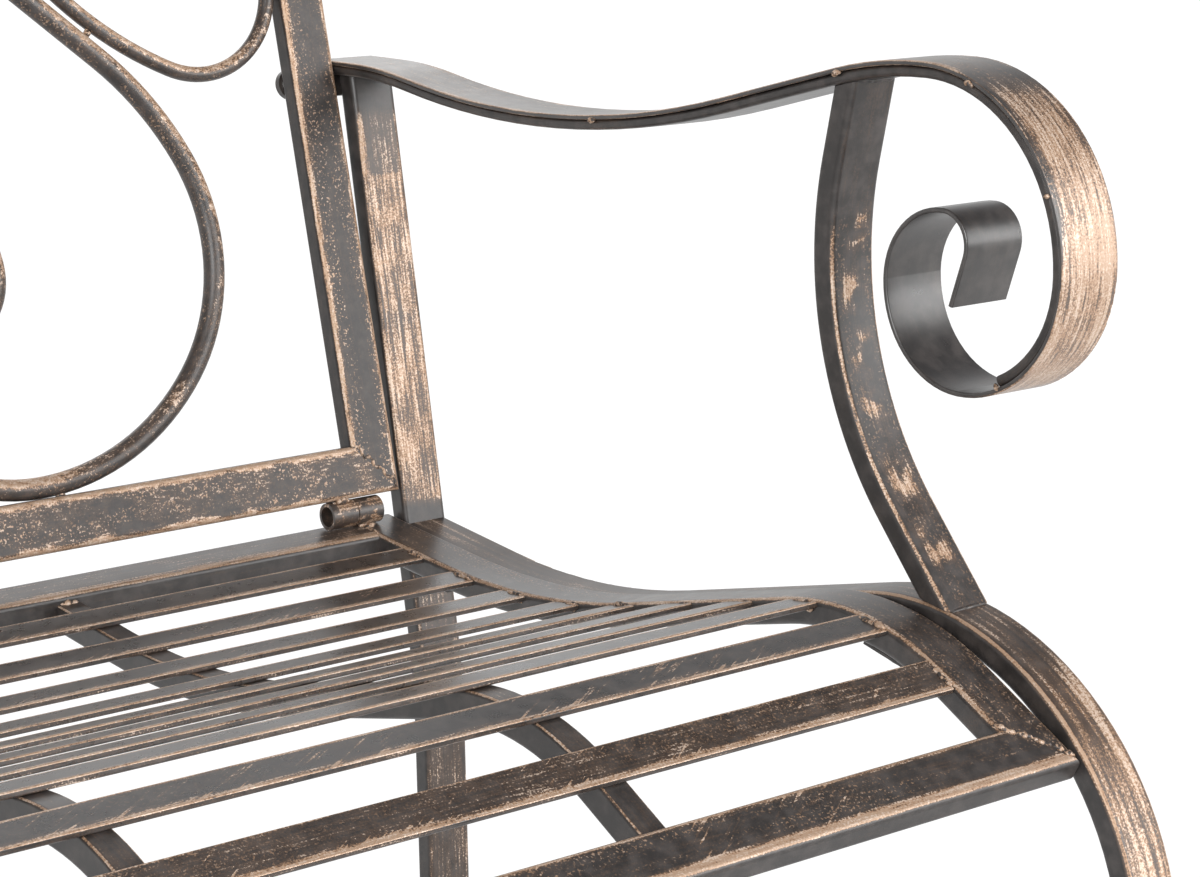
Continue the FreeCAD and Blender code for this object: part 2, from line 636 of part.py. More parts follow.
# Course of the front post between the arm and the leg rail
post_heading = 270 + size("arm_post_lean")
post_line = max(point.x for point in scroll.samples()) + size("arm_post_gap")
core_place = core.reach(post_line)
core_face = core.beside(core_place, size("core_depth") / 2 + size("post_gap"))
post_top = V(post_line, core_face.y + size("arm_post_tuck"))
post_moves = (
    ("run", "end_spare", "arm_post_upper_run"),
    ("right", "arm_post_radius", "arm_post_turn"),
    ("run", "arm_post_lower_run", "end_spare"),
)
arm_post = Course(post_top - toward(post_heading) * size("end_spare"), post_heading, post_moves)

# Hinge axis over the rear rail
hinge_lift = size("tube_depth") / 2 + size("back_bottom_lift")
hinge = seat.beside(size("hinge_set"), up * hinge_lift)

# Courses of the heart, in the plane of the back with the hinge axis as its foot
back_rail_top = size("back_bottom_lift") + size("tube_width")
heart_bottom = V(size("heart_bottom_set"), back_rail_top + size("heart_radius") + size("weld_gap"))
curl_moves = [
    ("run", "curl_end_run"),
    ("left", "curl_inner_radius", "curl_inner_turn"),
    ("left", "curl_middle_radius", "quarter_turn"),
    ("left", "curl_outer_radius", "quarter_turn"),
    ("left", "heart_lobe_radius", "quarter_turn"),
]
side_moves = [
    ("left", "heart_low_radius", "heart_low_turn"),
    ("left", "heart_side_radius", "heart_side_turn"),
    ("left", "heart_upper_radius", "heart_upper_turn"),
]
curl_heading = -3 * size("quarter_turn") - size("curl_inner_turn")
curl = Course(V(), curl_heading, curl_moves)
heart_start = heart_bottom - curl.at(curl.length)[0]
lobe = Course(heart_start, curl_heading, curl_moves + side_moves)
shoulder, climb = lobe.at(lobe.length)
ogee_width = size("heart_ogee_radius") * (1 - toward(climb).y)
middle_gap = size("heart_radius") + size("weld_gap")
straight_width = shoulder.x - ogee_width - middle_gap
put("heart_straight_run", straight_width / -toward(climb).x, "straight side of the heart")

# Ovals of four arcs, each set against a stile and the straight side of the heart
oval_bend_step = size("oval_side_radius") - size("oval_end_radius")
oval_depth = math.sqrt(oval_bend_step ** 2 - size("oval_half_spacing") ** 2)
oval_split = math.degrees(math.atan2(oval_depth, size("oval_half_spacing")))
put("oval_end_turn", 2 * oval_split, "oval, turn of an end")
put("oval_side_turn", 180 - 2 * oval_split, "oval, turn of a side")
doc.recompute()


def oval_reach(direction):
    """Distance from the oval's middle to its tangent square to a direction."""
    across = toward(direction - size("oval_tilt"))
    if math.degrees(math.atan2(abs(across.y), abs(across.x))) < oval_split:
        return size("oval_half_spacing") * abs(across.x) + size("oval_end_radius")
    return size("oval_side_radius") - oval_depth * abs(across.y)


outward = toward(climb - 90)
oval_x = size("stile_face") - size("oval_radius") - size("weld_gap") - oval_reach(0)
heart_gap = size("heart_radius") + size("oval_radius") + size("oval_tack_gap") + oval_reach(climb + 90)
oval_centre = V(oval_x, shoulder.y + (heart_gap - (oval_x - shoulder.x) * outward.x) / outward.y)
oval_end = oval_centre + toward(size("oval_tilt")) * size("oval_half_spacing")
oval_turned = size("oval_tilt") - oval_split
oval_half = (
    ("left", "oval_end_radius", "oval_end_turn"),
    ("left", "oval_side_radius", "oval_side_turn"),
)
oval_start = oval_end + toward(oval_turned) * size("oval_end_radius")
oval = Course(oval_start, oval_turned + 90, oval_half + oval_half)

# Arched top rail, resting on the ovals
arch_inside = size("arch_radius") - size("tube_width") / 2 - size("oval_radius") - size("weld_gap")
arch_centre = max(point.y - math.sqrt(arch_inside ** 2 - point.x ** 2) for point in oval.samples())
arch_end = V(0, arch_centre) + toward(90 + size("arch_fall")) * size("arch_radius")
arch_moves = (
    ("run", "arch_corner_run", "end_spare"),
    ("right", "arch_radius", "arch_turn"),
    ("run", "arch_corner_run", "end_spare"),
)
arch_tail = toward(size("arch_fall")) * (size("arch_corner_run") + size("end_spare"))
arch = Course(arch_end - arch_tail, size("arch_fall"), arch_moves)
crown = arch_centre + size("arch_radius") + size("tube_width") / 2
corner = V(size("stile_place"), (arch_end - toward(size("arch_fall")) * size("arch_corner_run")).y)
corner_cut = 225 - size("arch_fall") / 2
put("stile_run", corner.y - size("back_bottom_lift"), "stile, foot to the middle of its top corner")

# The heart's last run ends under the top rail
top_moves = [("run", "heart_straight_run"), ("right", "heart_ogee_radius", "heart_ogee_turn")]
heart_moves = curl_moves + side_moves + top_moves
doc.recompute()
ogee = Course(heart_start, curl_heading, heart_moves)
heart_top = crown - size("tube_width") - 2 * size("weld_gap")
put("heart_top_run", heart_top - ogee.at(ogee.length)[0].y, "straight top of the heart rod")
put("back_rail_run", "=2 * back_half_width", "bottom rail, length")

# Depth of the whole chair, so that it stands over its own middle
front_foot, front_lean = leg_rail.at(leg_rail.length - size("end_spare"))
rear_foot, rear_lean = rear_leg.at(rear_leg.length - size("end_spare"))
put("front_foot_slant", -toward(front_lean).y, "cosine of the front leg's lean at its foot")
put("rear_foot_slant", -toward(rear_lean).y, "cosine of the rear leg's lean at its foot")
doc.recompute()
leg_points = leg_rail.samples(up * size("tube_depth") / 2)
leg_face = min(point.x for point in leg_points if point.y > size("foot_depth"))
pad_face = front_foot.x - size("tube_depth") / 2 / size("front_foot_slant") - size("foot_lip")
front_face = min(leg_face, pad_face)
recline = math.radians(size("back_recline"))
crown_depth = (size("tube_depth") / 2 - size("tube_corner")) * math.cos(recline) + size("tube_corner")
rear_face = hinge.x + (crown - size("tube_corner")) * math.sin(recline) + crown_depth
put("depth_shift", -(front_face + rear_face) / 2, "seat rear edge behind the middle of the chair")
put("hinge_depth", hinge.x - (front_face + rear_face) / 2, "hinge axis behind the middle of the chair")
put("hinge_height", hinge.y, "hinge axis above the floor")
doc.recompute()
heart = Course(heart_start, curl_heading, heart_moves + [("run", "heart_top_run")])
hinge_point = V(0, size("hinge_depth"), size("hinge_height"))
back_place = Placement(hinge_point, Rotation(ACROSS, -size("back_recline")))


def seat_place(along, lift=0, x=0):
    """Placement on the slope of the seat."""
    point, heading = seat.at(along)
    point = point + toward(heading + 90) * up * lift
    return Placement(V(x, point.x + size("depth_shift"), point.y), Rotation(ACROSS, heading - 180))


def drill(body, name, role, offset, centre, radius, depth=None, reverse=False):
    """Round hole through a body or to a depth, its radius a sum of named sizes."""
    sketch = new_sketch(body, name, role, offset)
    formula = " + ".join(f"sizes.{part}" for part in radius)
    draw_circle(sketch, "hole", formula, sum(size(part) for part in radius), centre)
    pocket(body, sketch, f"{name}_cut", depth, reverse)


# Seat frame: side rails mitred to the front rail, rear rail between them
half_tube = size("tube_width") / 2
side_rail = bent("seat_side_rail", seat, "side", draw_tube, "tube")
seat_end, seat_end_heading = seat.at(seat.length)
spare = size("end_spare")
mitre_plane = Placement(V(0, seat_end.x, seat_end.y), Rotation(ACROSS, seat_end_heading))
mitre = new_sketch(side_rail, "side_mitre", "XY_Plane", mitre_plane)
reach = half_tube + spare
draw_loop(mitre, [V(-reach, -half_tube - reach), V(reach, spare), V(-reach, spare)])
pocket(side_rail, mitre, "side_mitre_cut")
nut_hole = ("seat_bolt_nut_radius", "weld_gap")
for name in ("rear", "front"):
    point, heading = seat.at(size(f"seat_bolt_{name}_set"))
    offset = Placement(V(0, point.x, point.y), Rotation(ACROSS, heading))
    drill(side_rail, f"{name}_bolt_hole", "XY_Plane", offset, V(), nut_hole, "sizes.tube_depth", True)
set_side(side_rail, "side_rail_place")
keep_pair("seat_side_rail", side_rail)

rear_rail = keep("seat_rear_rail", straight("seat_rear_rail", draw_tube, "tube", "seat_inner_width"))
rear_rail.Placement = seat_place(half_tube)
front_rail = keep("seat_front_rail", straight("seat_front_rail", draw_tube, "tube", "seat_outer_width"))
inner, outer = size("seat_inner_width") / 2, size("seat_outer_width") / 2
for side in (-1, 1):
    mitre = new_sketch(front_rail, f"front_mitre_{side + 1}", "XY_Plane")
    corners = V(inner - spare, reach), V(outer + spare, -reach), V(outer + spare, reach)
    draw_loop(mitre, [V(side * point.x, point.y) for point in corners])
    pocket(front_rail, mitre, f"front_mitre_cut_{side + 1}")
front_rail.Placement = seat_place(seat.length - half_tube)

# Slats between the side rails, and the two braces under them
slats = int(size("slat_count"))
slat_span = seat.length - size("slat_rear_margin") - size("slat_front_margin")
slat_lift = size("tube_depth") / 2 - size("slat_drop") - size("slat_depth") / 2
for index in range(slats):
    slat = straight(f"slat_{index + 1}", draw_bar, "slat", "seat_inner_width")
    slat.Placement = seat_place(size("slat_rear_margin") + slat_span * index / (slats - 1), slat_lift)
    keep(f"seat_slat_{index + 1:02d}", slat)
seat_brace = bent("seat_brace", brace, "side", draw_tube, "brace")
set_side(seat_brace, "brace_offset")
keep_pair("seat_brace", seat_brace)

# Side frames: rear leg, leg rail, front post and arm
leg = bent("rear_leg", rear_leg, "side", draw_tube, "tube")
trim(leg, "rear_leg_top", "YZ_Plane", V(size("rear_leg_set"), arm_underside), 0)
trim(leg, "rear_leg_foot", "YZ_Plane", rear_foot, 180)
rail = bent("leg_rail", leg_rail, "side", draw_tube, "tube")
tube_face = up * (size("tube_depth") / 2 + size("weld_gap"))
rail_joint = rear_leg.beside(rear_leg.nearest(leg_rail_top), tube_face)
trim(rail, "leg_rail_joint", "YZ_Plane", rail_joint, lean)
trim(rail, "front_leg_foot", "YZ_Plane", front_foot, 180)
post = bent("arm_post", arm_post, "side", draw_tube, "tube")
trim(post, "arm_post_top", "YZ_Plane", core_face, core.at(core_place)[1] + 180)
rail_place = leg_rail.nearest(arm_post.at(arm_post.length - size("end_spare"))[0])
rail_face = leg_rail.beside(rail_place, tube_face)
trim(post, "arm_post_foot", "YZ_Plane", rail_face, leg_rail.at(rail_place)[1])
strip = bent("arm_strip", arm, "side", draw_bar, "strip")
flat_tube = bent("arm_core", core, "side", draw_tube, "core")
stile_nut_face = size("tube_depth") / 2 + size("back_bolt_nut_seat") + size("back_bolt_flange_depth")
plate_front = stile_nut_face + size("back_tab_rest")
plate_rear = plate_front + size("back_tab_wall")
tab_face = hinge + toward(90 - size("back_recline")) * size("back_tab_height")
tab_face = tab_face + toward(-size("back_recline")) * (plate_front - size("weld_gap"))
trim(strip, "arm_strip_end", "YZ_Plane", tab_face, 270 - size("back_recline"))
trim(flat_tube, "arm_core_end", "YZ_Plane", tab_face, 270 - size("back_recline"))
side_pieces = (
    ("rear_leg", leg),
    ("leg_rail", rail),
    ("arm_front_post", post),
    ("arm_strip", strip),
    ("arm_core", flat_tube),
)
for name, piece in side_pieces:
    set_side(piece, "side_frame_place")
    keep_pair(name, piece)


def foot(name, centre, heading):
    """Foot pad with a plug along the leaning tube."""
    body = new_body(name)
    width, depth, corner_radius = size("tube_width"), size("tube_depth"), size("tube_corner")
    slant, lip = size(f"{name}_slant"), 2 * size("foot_lip")
    section = new_sketch(body, f"{name}_section", "XY_Plane")
    formulas = (
        "sizes.tube_width + 2 * sizes.foot_lip",
        f"sizes.tube_depth / sizes.{name}_slant + 2 * sizes.foot_lip",
        "sizes.tube_corner",
    )
    draw_box(section, width + lip, depth / slant + lip, corner_radius, formulas)
    pad(body, section, f"{name}_pad", "sizes.foot_depth")
    plug_plane = Placement(V(0, 0, size("foot_depth")), Rotation())
    plug = new_sketch(body, f"{name}_plug_section", "XY_Plane", plug_plane)
    inset = 2 * (size("tube_wall") + size("foot_plug_clear"))
    inset_formula = "2 * (sizes.tube_wall + sizes.foot_plug_clear)"
    formulas = (
        f"sizes.tube_width - {inset_formula}",
        f"(sizes.tube_depth - {inset_formula}) / sizes.{name}_slant",
        "sizes.tube_corner - sizes.tube_wall",
    )
    draw_box(plug, width - inset, (depth - inset) / slant, corner_radius - size("tube_wall"), formulas)
    stem = pad(body, plug, f"{name}_plug", "sizes.foot_plug_length")
    stem.UseCustomVector = True
    stem.Direction = V(0, -toward(heading).x, -toward(heading).y)
    body.Placement = Placement(V(size("side_frame_place"), centre.x + size("depth_shift"), 0), Rotation())
    return body


keep_pair("front_foot", foot("front_foot", front_foot, front_lean))
keep_pair("rear_foot", foot("rear_foot", rear_foot, rear_lean))


def knuckle(name, length, weld_side, weld_reach):
    """Hinge barrel with the weld that joins it to its rail."""
    body = new_body(name)
    barrel = new_sketch(body, f"{name}_barrel", "YZ_Plane")
    draw_circle(barrel, "barrel", "sizes.knuckle_radius", size("knuckle_radius"))
    pad(body, barrel, f"{name}_pad", f"sizes.{length}")
    start = (size(length) - size("knuckle_weld_length")) / 2
    weld = new_sketch(body, f"{name}_weld", "YZ_Plane", Placement(V(0, 0, start), Rotation()))
    half, tip = size("knuckle_weld_depth") / 2, weld_side * weld_reach
    draw_loop(weld, [V(-half, 0), V(half, 0), V(half, tip), V(-half, tip)])
    pad(body, weld, f"{name}_weld_pad", "sizes.knuckle_weld_length")
    drill(body, f"{name}_bore", "YZ_Plane", None, V(), ("knuckle_bore",))
    return body


# Barrel hinges between the rear rail and the bottom rail of the back
weld_reach = size("back_bottom_lift") - size("weld_gap")
parting = size("knuckle_gap") / 2
back_knuckle = knuckle("back_knuckle", "back_knuckle_length", 1, weld_reach)
back_knuckle.Placement = back_place.multiply(
    Placement(V(size("hinge_outset") - size("back_knuckle_length") - parting, 0, 0), Rotation()))
keep_pair("hinge_back_knuckle", back_knuckle)
seat_knuckle = knuckle("seat_knuckle", "seat_knuckle_length", -1, weld_reach)
seat_knuckle.Placement = seat_place(size("hinge_set"), hinge_lift, size("hinge_outset") + parting)
keep_pair("hinge_seat_knuckle", seat_knuckle)
pin = new_body("pin")
pin_section = new_sketch(pin, "pin_section", "YZ_Plane")
draw_circle(pin_section, "pin", "sizes.pin_radius", size("pin_radius"))
pad(pin, pin_section, "pin_pad", "sizes.pin_length")
pin_start = size("hinge_outset") - size("back_knuckle_length") + size("pin_recess")
pin.Placement = seat_place(size("hinge_set"), hinge_lift, pin_start)
keep_pair("hinge_pin", pin)

# Back frame: bottom rail, stiles and arched top rail, mitred at the four corners
rail_middle = size("back_bottom_lift") + half_tube
bottom_course = Course(V(-size("back_half_width"), rail_middle), 0, [("run", "back_rail_run")])
bottom_rail = keep("back_bottom_rail", bent("back_bottom_rail", bottom_course, "back", draw_tube, "tube"))
top_rail = keep("back_top_rail", bent("back_top_rail", arch, "back", draw_tube, "tube"))
foot_corner = V(size("stile_place"), rail_middle)
for side, foot_cut, top_cut in ((1, -45, corner_cut), (-1, 45, 360 - corner_cut)):
    foot_point, top_point = (V(side * point.x, point.y) for point in (foot_corner, corner))
    trim(bottom_rail, f"bottom_mitre_{side + 1}", "XZ_Plane", foot_point, foot_cut)
    trim(top_rail, f"top_mitre_{side + 1}", "XZ_Plane", top_point, top_cut)
stile_foot = V(size("stile_place"), size("back_bottom_lift"))
stile_course = Course(stile_foot, 90, [("run", "stile_run", "end_spare")])
stile = bent("back_stile", stile_course, "back", draw_tube, "tube")
trim(stile, "stile_foot", "XZ_Plane", foot_corner, 135)
trim(stile, "stile_top", "XZ_Plane", corner, corner_cut - 180)
bolt_place = V(size("stile_face") + size("back_bolt_inset"), size("back_tab_height"))
nut_hole = ("back_bolt_nut_radius", "weld_gap")
drill(stile, "stile_bolt_hole", "XZ_Plane", None, bolt_place, nut_hole, "sizes.tube_depth")
heart_rod = bent("heart_rod", heart, "back", draw_rod, "heart")
oval_ring = bent("oval_ring", oval, "back", draw_rod, "oval")
for piece in (bottom_rail, top_rail, stile, heart_rod, oval_ring):
    piece.Placement = back_place
keep_pair("back_stile", stile)
keep_pair("heart_rod", heart_rod)
keep_pair("oval_ring", oval_ring)

# Tabs on the arm ends that hold the back, and angle brackets under the seat
back_tab = new_body("back_tab")
tab_plane = Placement(V(0, 0, -plate_rear), Rotation())
tab_outline = new_sketch(back_tab, "back_tab_outline", "XZ_Plane", tab_plane)
tab_end = size("side_frame_face") + size("back_tab_overlap")
draw_tab(tab_outline, bolt_place, size("back_tab_width") / 2, tab_end)
pad(back_tab, tab_outline, "back_tab_pad", "sizes.back_tab_wall")
drill(back_tab, "back_tab_hole", "XZ_Plane", None, bolt_place, ("back_bolt_shank_radius", "hole_clear"))
back_tab.Placement = back_place
keep_pair("back_tab", back_tab)

bracket_face = size("side_frame_face") - size("weld_gap")
wall = size("seat_bracket_wall")
rail_nut_face = size("tube_depth") / 2 + size("seat_bolt_nut_seat") + size("seat_bolt_flange_depth")
plate_top = -rail_nut_face - size("weld_gap")
plate_foot = plate_top - wall
for name in ("rear", "front"):
    bracket = new_body(f"{name}_seat_bracket")
    angle = new_sketch(bracket, f"{name}_seat_angle", "XZ_Plane")
    upright = size("seat_bracket_rise") - size("tube_depth") / 2
    inner_end, inner_face = inner + size("seat_bracket_margin"), bracket_face - wall
    draw_loop(angle, [V(inner_end, plate_foot), V(bracket_face, plate_foot), V(bracket_face, upright),
                      V(inner_face, upright), V(inner_face, plate_top), V(inner_end, plate_top)])
    pad(bracket, angle, f"{name}_seat_angle_pad", "sizes.seat_bracket_length", "Symmetric")
    hole_place, bolt_hole = V(size("side_rail_place"), 0), ("seat_bolt_shank_radius", "hole_clear")
    drill(bracket, f"{name}_seat_angle_hole", "XY_Plane", None, hole_place, bolt_hole)
    bracket.Placement = seat_place(size(f"seat_bolt_{name}_set"))
    keep_pair(f"seat_bracket_{name}", bracket)


def cylinder(name, radius, height, base=0):
    """Round bar along its own axis, tied to two formulas."""
    bar = doc.addObject("Part::Cylinder", name)
    bar.setExpression("Radius", radius)
    bar.setExpression("Height", height)
    bar.Placement.Base.z = base
    return bar


def joined(kind, name, base, tool):
    result = doc.addObject(kind, name)
    result.Base, result.Tool = base, tool
    return result


def bolt(name, kind):
    """Domed bolt with its shank upward from the seat of its head."""
    rise, radius = size(f"{kind}_head_height"), size(f"{kind}_head_radius")
    ball = (rise ** 2 + radius ** 2) / (2 * rise)
    dome = doc.addObject("Part::Sphere", f"{name}_dome")
    dome.Radius = ball
    dome.Angle1, dome.Angle2 = -90, math.degrees(math.asin(rise / ball - 1))
    dome.Placement.Base.z = ball - rise
    shank = cylinder(f"{name}_shank", f"sizes.{kind}_shank_radius", f"sizes.{kind}_shank_length")
    return joined("Part::Fuse", name, shank, dome)


def washer(name, kind):
    depth = f"sizes.{kind}_washer_depth"
    disc = cylinder(f"{name}_disc", f"sizes.{kind}_washer_radius", depth)
    bore = cylinder(f"{name}_bore", f"sizes.{kind}_shank_radius + sizes.hole_clear", depth)
    return joined("Part::Cut", name, disc, bore)


def insert_nut(name, kind):
    """Threaded insert: a flange on the tube and a sleeve inside it, bored for the bolt."""
    flange = cylinder(f"{name}_flange", f"sizes.{kind}_flange_radius", f"sizes.{kind}_flange_depth")
    sleeve_length = f"sizes.{kind}_flange_depth + sizes.{kind}_nut_length"
    sleeve = cylinder(f"{name}_sleeve", f"sizes.{kind}_nut_radius", sleeve_length)
    bore = cylinder(f"{name}_bore", f"sizes.{kind}_shank_radius + sizes.{kind}_nut_clear", sleeve_length)
    return joined("Part::Cut", name, joined("Part::Fuse", f"{name}_body", flange, sleeve), bore)


# Bolts, washers and insert nuts, with heights measured along each bolt from the middle of its tube
seat_bolt_sets = size("seat_bolt_rear_set"), size("seat_bolt_front_set")
spots = {
    "seat_bolt": [seat_place(along, 0, size("side_rail_place")) for along in seat_bolt_sets],
    "back_bolt": [back_place.multiply(Placement(V(bolt_place.x, 0, bolt_place.y), Rotation(ACROSS, 90)))],
}
plate_under = {"seat_bolt": plate_foot, "back_bolt": -plate_rear}
nut_face = {"seat_bolt": rail_nut_face, "back_bolt": stile_nut_face}
for kind, places in spots.items():
    nut_base = -nut_face[kind]
    washer_base = plate_under[kind] - size(f"{kind}_washer_depth")
    fasteners = (
        (f"{kind}s", bolt, washer_base),
        (f"{kind}_washers", washer, washer_base),
        (f"{kind}_insert_nuts", insert_nut, nut_base),
    )
    for group_name, make, base in fasteners:
        members = []
        for index, place in enumerate(places):
            piece = make(f"{group_name}_{index}", kind)
            piece.Placement = place.multiply(Placement(V(0, 0, base), Rotation()))
            members.append(piece)
        keep_group(group_name, members)

# Check every piece and write it out
doc.recompute()
faults = [thing.Name for thing in doc.Objects if {"Invalid", "Error"} & set(thing.State)]
faults += [name for name, piece in parts.items() if piece.Shape.isNull() or not piece.Shape.isValid()]
if faults:
    raise RuntimeError(f"faulty pieces: {faults}")
os.makedirs("parts", exist_ok=True)
box = FreeCAD.BoundBox()
for name, piece in parts.items():
    piece.Shape.exportStep(f"parts/{name}.step")
    box.add(piece.Shape.BoundBox)
print("pieces", len(parts), "box", box)
print("hinge axis", round(size("hinge_depth"), 3), round(size("hinge_height"), 3))
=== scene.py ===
# Garden chair of bronzed steel tube: painted finish, weld beads, studio light and camera
import json
import math
import random

import bmesh
import bpy
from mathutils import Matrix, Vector
from mathutils.bvhtree import BVHTree


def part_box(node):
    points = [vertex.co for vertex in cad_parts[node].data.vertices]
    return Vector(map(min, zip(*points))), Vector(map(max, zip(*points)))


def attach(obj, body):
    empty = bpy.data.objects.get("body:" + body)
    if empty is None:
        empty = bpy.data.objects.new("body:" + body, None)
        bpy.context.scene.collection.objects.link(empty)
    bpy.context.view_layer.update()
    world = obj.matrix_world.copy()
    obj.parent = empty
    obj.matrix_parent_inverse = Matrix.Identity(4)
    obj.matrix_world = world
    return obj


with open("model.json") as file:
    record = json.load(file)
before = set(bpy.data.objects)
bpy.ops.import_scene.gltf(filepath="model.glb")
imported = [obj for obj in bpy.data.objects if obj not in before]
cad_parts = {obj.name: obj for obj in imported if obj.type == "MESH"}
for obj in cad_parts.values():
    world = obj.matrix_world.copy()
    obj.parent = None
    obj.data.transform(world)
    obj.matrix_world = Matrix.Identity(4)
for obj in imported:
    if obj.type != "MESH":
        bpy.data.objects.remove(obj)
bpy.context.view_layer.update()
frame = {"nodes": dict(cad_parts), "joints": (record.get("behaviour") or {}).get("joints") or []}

NODES = frame["nodes"]
MM = 0.001

# Sizes of the chair that the finish and the welds follow, in metres
HINGE = Vector(frame["joints"][0]["pos_m"])
RECLINE = math.radians(13.86)
BACK_UP = Vector((0, math.sin(RECLINE), math.cos(RECLINE)))
BACK_REAR = Vector((0, math.cos(RECLINE), -math.sin(RECLINE)))


def across(name):
    """Middle and half width of a piece from side to side."""
    low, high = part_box(name)
    return (low.x + high.x) / 2, (high.x - low.x) / 2


SEAT_RAIL_MIDDLE, HALF_TUBE = across("seat_side_rail_right")
SIDE_FRAME_MIDDLE, HALF_STRIP = across("arm_strip_right")
STILE_MIDDLE = across("back_stile_right")[0]
SEAT_INNER = SEAT_RAIL_MIDDLE - HALF_TUBE
STRIP_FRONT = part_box("arm_strip_right")[0].y

# Colours of the paint, the zinc plating and the plastic, linear
CHARCOAL = (0.0225, 0.0198, 0.0188, 1)
CHARCOAL_WORN = (0.050, 0.043, 0.040, 1)
GLAZE = (0.125, 0.072, 0.042, 1)
BRONZE_DEEP = (0.330, 0.180, 0.092, 1)
BRONZE = (0.380, 0.260, 0.180, 1)
BRONZE_PALE = (0.540, 0.425, 0.340, 1)
ZINC_DULL = (0.56, 0.56, 0.55, 1)
ZINC_BRIGHT = (0.80, 0.80, 0.79, 1)
PLASTIC = (0.018, 0.018, 0.018, 1)
PLASTIC_SCUFFED = (0.075, 0.072, 0.068, 1)

# Grain of the finishes, in marks per metre
FLECK_GRAIN = 1250
DOT_GRAIN = 940
SCRATCH_GRAIN = 880
GATHER_GRAIN = 150
MOTTLE_GRAIN = 140
PATCH_GRAIN = 45
SCRATCH_GROUP_GRAIN = 34
PEEL_GRAIN = 2600
POST_MARK_GRAIN = 120
BACK_RAIL_MARK_GRAIN = 60
ROD_STROKE_GRAIN = 24
HINGE_STROKE_GRAIN = 150
WELD_LUMP_GRAIN = 420
ZINC_DULL_GRAIN = 260
ZINC_TURNING_GRAIN = 3200
PLASTIC_PEBBLE_GRAIN = 2400
PLASTIC_SCUFF_GRAIN = 300
FLOOR_GRAIN = 3

# Strength of each finer layer of a grain against the layer before it
GRAIN_ROUGHNESS = 0.55

# Heights on the rear legs, from where the bronze fades out to where it is full
LEG_BRUSHED_HEAD = (0.5850, 0.5828)
LEG_BRUSHED_FOOT = (0.4275, 0.4345)
LEG_UPPER_HEAD = (0.618, 0.608)
LEG_UPPER_FOOT = (0.5828, 0.5850)
LEG_BELOW_SEAT = (0.420, 0.410)

# Places along the leg rails: the bend into the front leg, and the rear end
RAIL_KNEE = (-0.195, -0.255)
RAIL_REAR = (0.110, 0.160)

# Heights on the front posts of the arms: the end of the bare top, and the brush marks below it
POST_BARE_END = (0.605, 0.590)
POST_MARKS = (0.594, 0.570, 0.547, 0.529, 0.501, 0.477)

# Places on the arm strip: distances behind the front of the scroll or from its centre, and heights
SCROLL_ROLLED = (58 * MM, 44 * MM)
SCROLL_FRONT = (66 * MM, 22 * MM)
SCROLL_CENTRE_SET = 0.050
SCROLL_CENTRE_HEIGHT = 0.5926
SCROLL_OUTSIDE = (6 * MM, 20 * MM)
SCROLL_MISSED = (0.590, 0.615)
ARM_CREST = (0.613, 0.621)
ARM_EDGE = (0.614, 0.622)

# Tacks along the inner edge of the arm: distance behind the front of the scroll, and height
ARM_TACKS = ((0.2643, 0.626), (0.1176, 0.657), (0.0481, 0.658), (0.0076, 0.621), (0.0331, 0.549))

# Width of the brushed rim along the edges of the broad faces
SEAT_RAIL_RIM = 3.8 * MM
REAR_LEG_RIM = 6 * MM
ARM_RIM = 4.5 * MM
STILE_RIM = 5.5 * MM
BACK_RAIL_RIM = 5 * MM


def pick(sockets, key):
    """Socket by place, by name or by its inner name."""
    if isinstance(key, int):
        return sockets[key]
    return next(socket for socket in sockets if key in (socket.identifier, socket.name))


class Wire:
    """A node socket that takes part in sums; each operation adds one Math node."""

    def __init__(self, finish, socket):
        self.finish, self.socket = finish, socket

    def math(self, operation, *values):
        return self.finish.node("ShaderNodeMath", {"operation": operation}, dict(enumerate(values)))

    def __add__(self, other):
        return self.math("ADD", self, other)

    def __sub__(self, other):
        return self.math("SUBTRACT", self, other)

    def __rsub__(self, other):
        return self.math("SUBTRACT", other, self)

    def __mul__(self, other):
        return self.math("MULTIPLY", self, other)

    def __or__(self, other):
        return self.math("MAXIMUM", self, other)

    def __abs__(self):
        return self.math("ABSOLUTE", self)

    __radd__, __rmul__ = __add__, __mul__


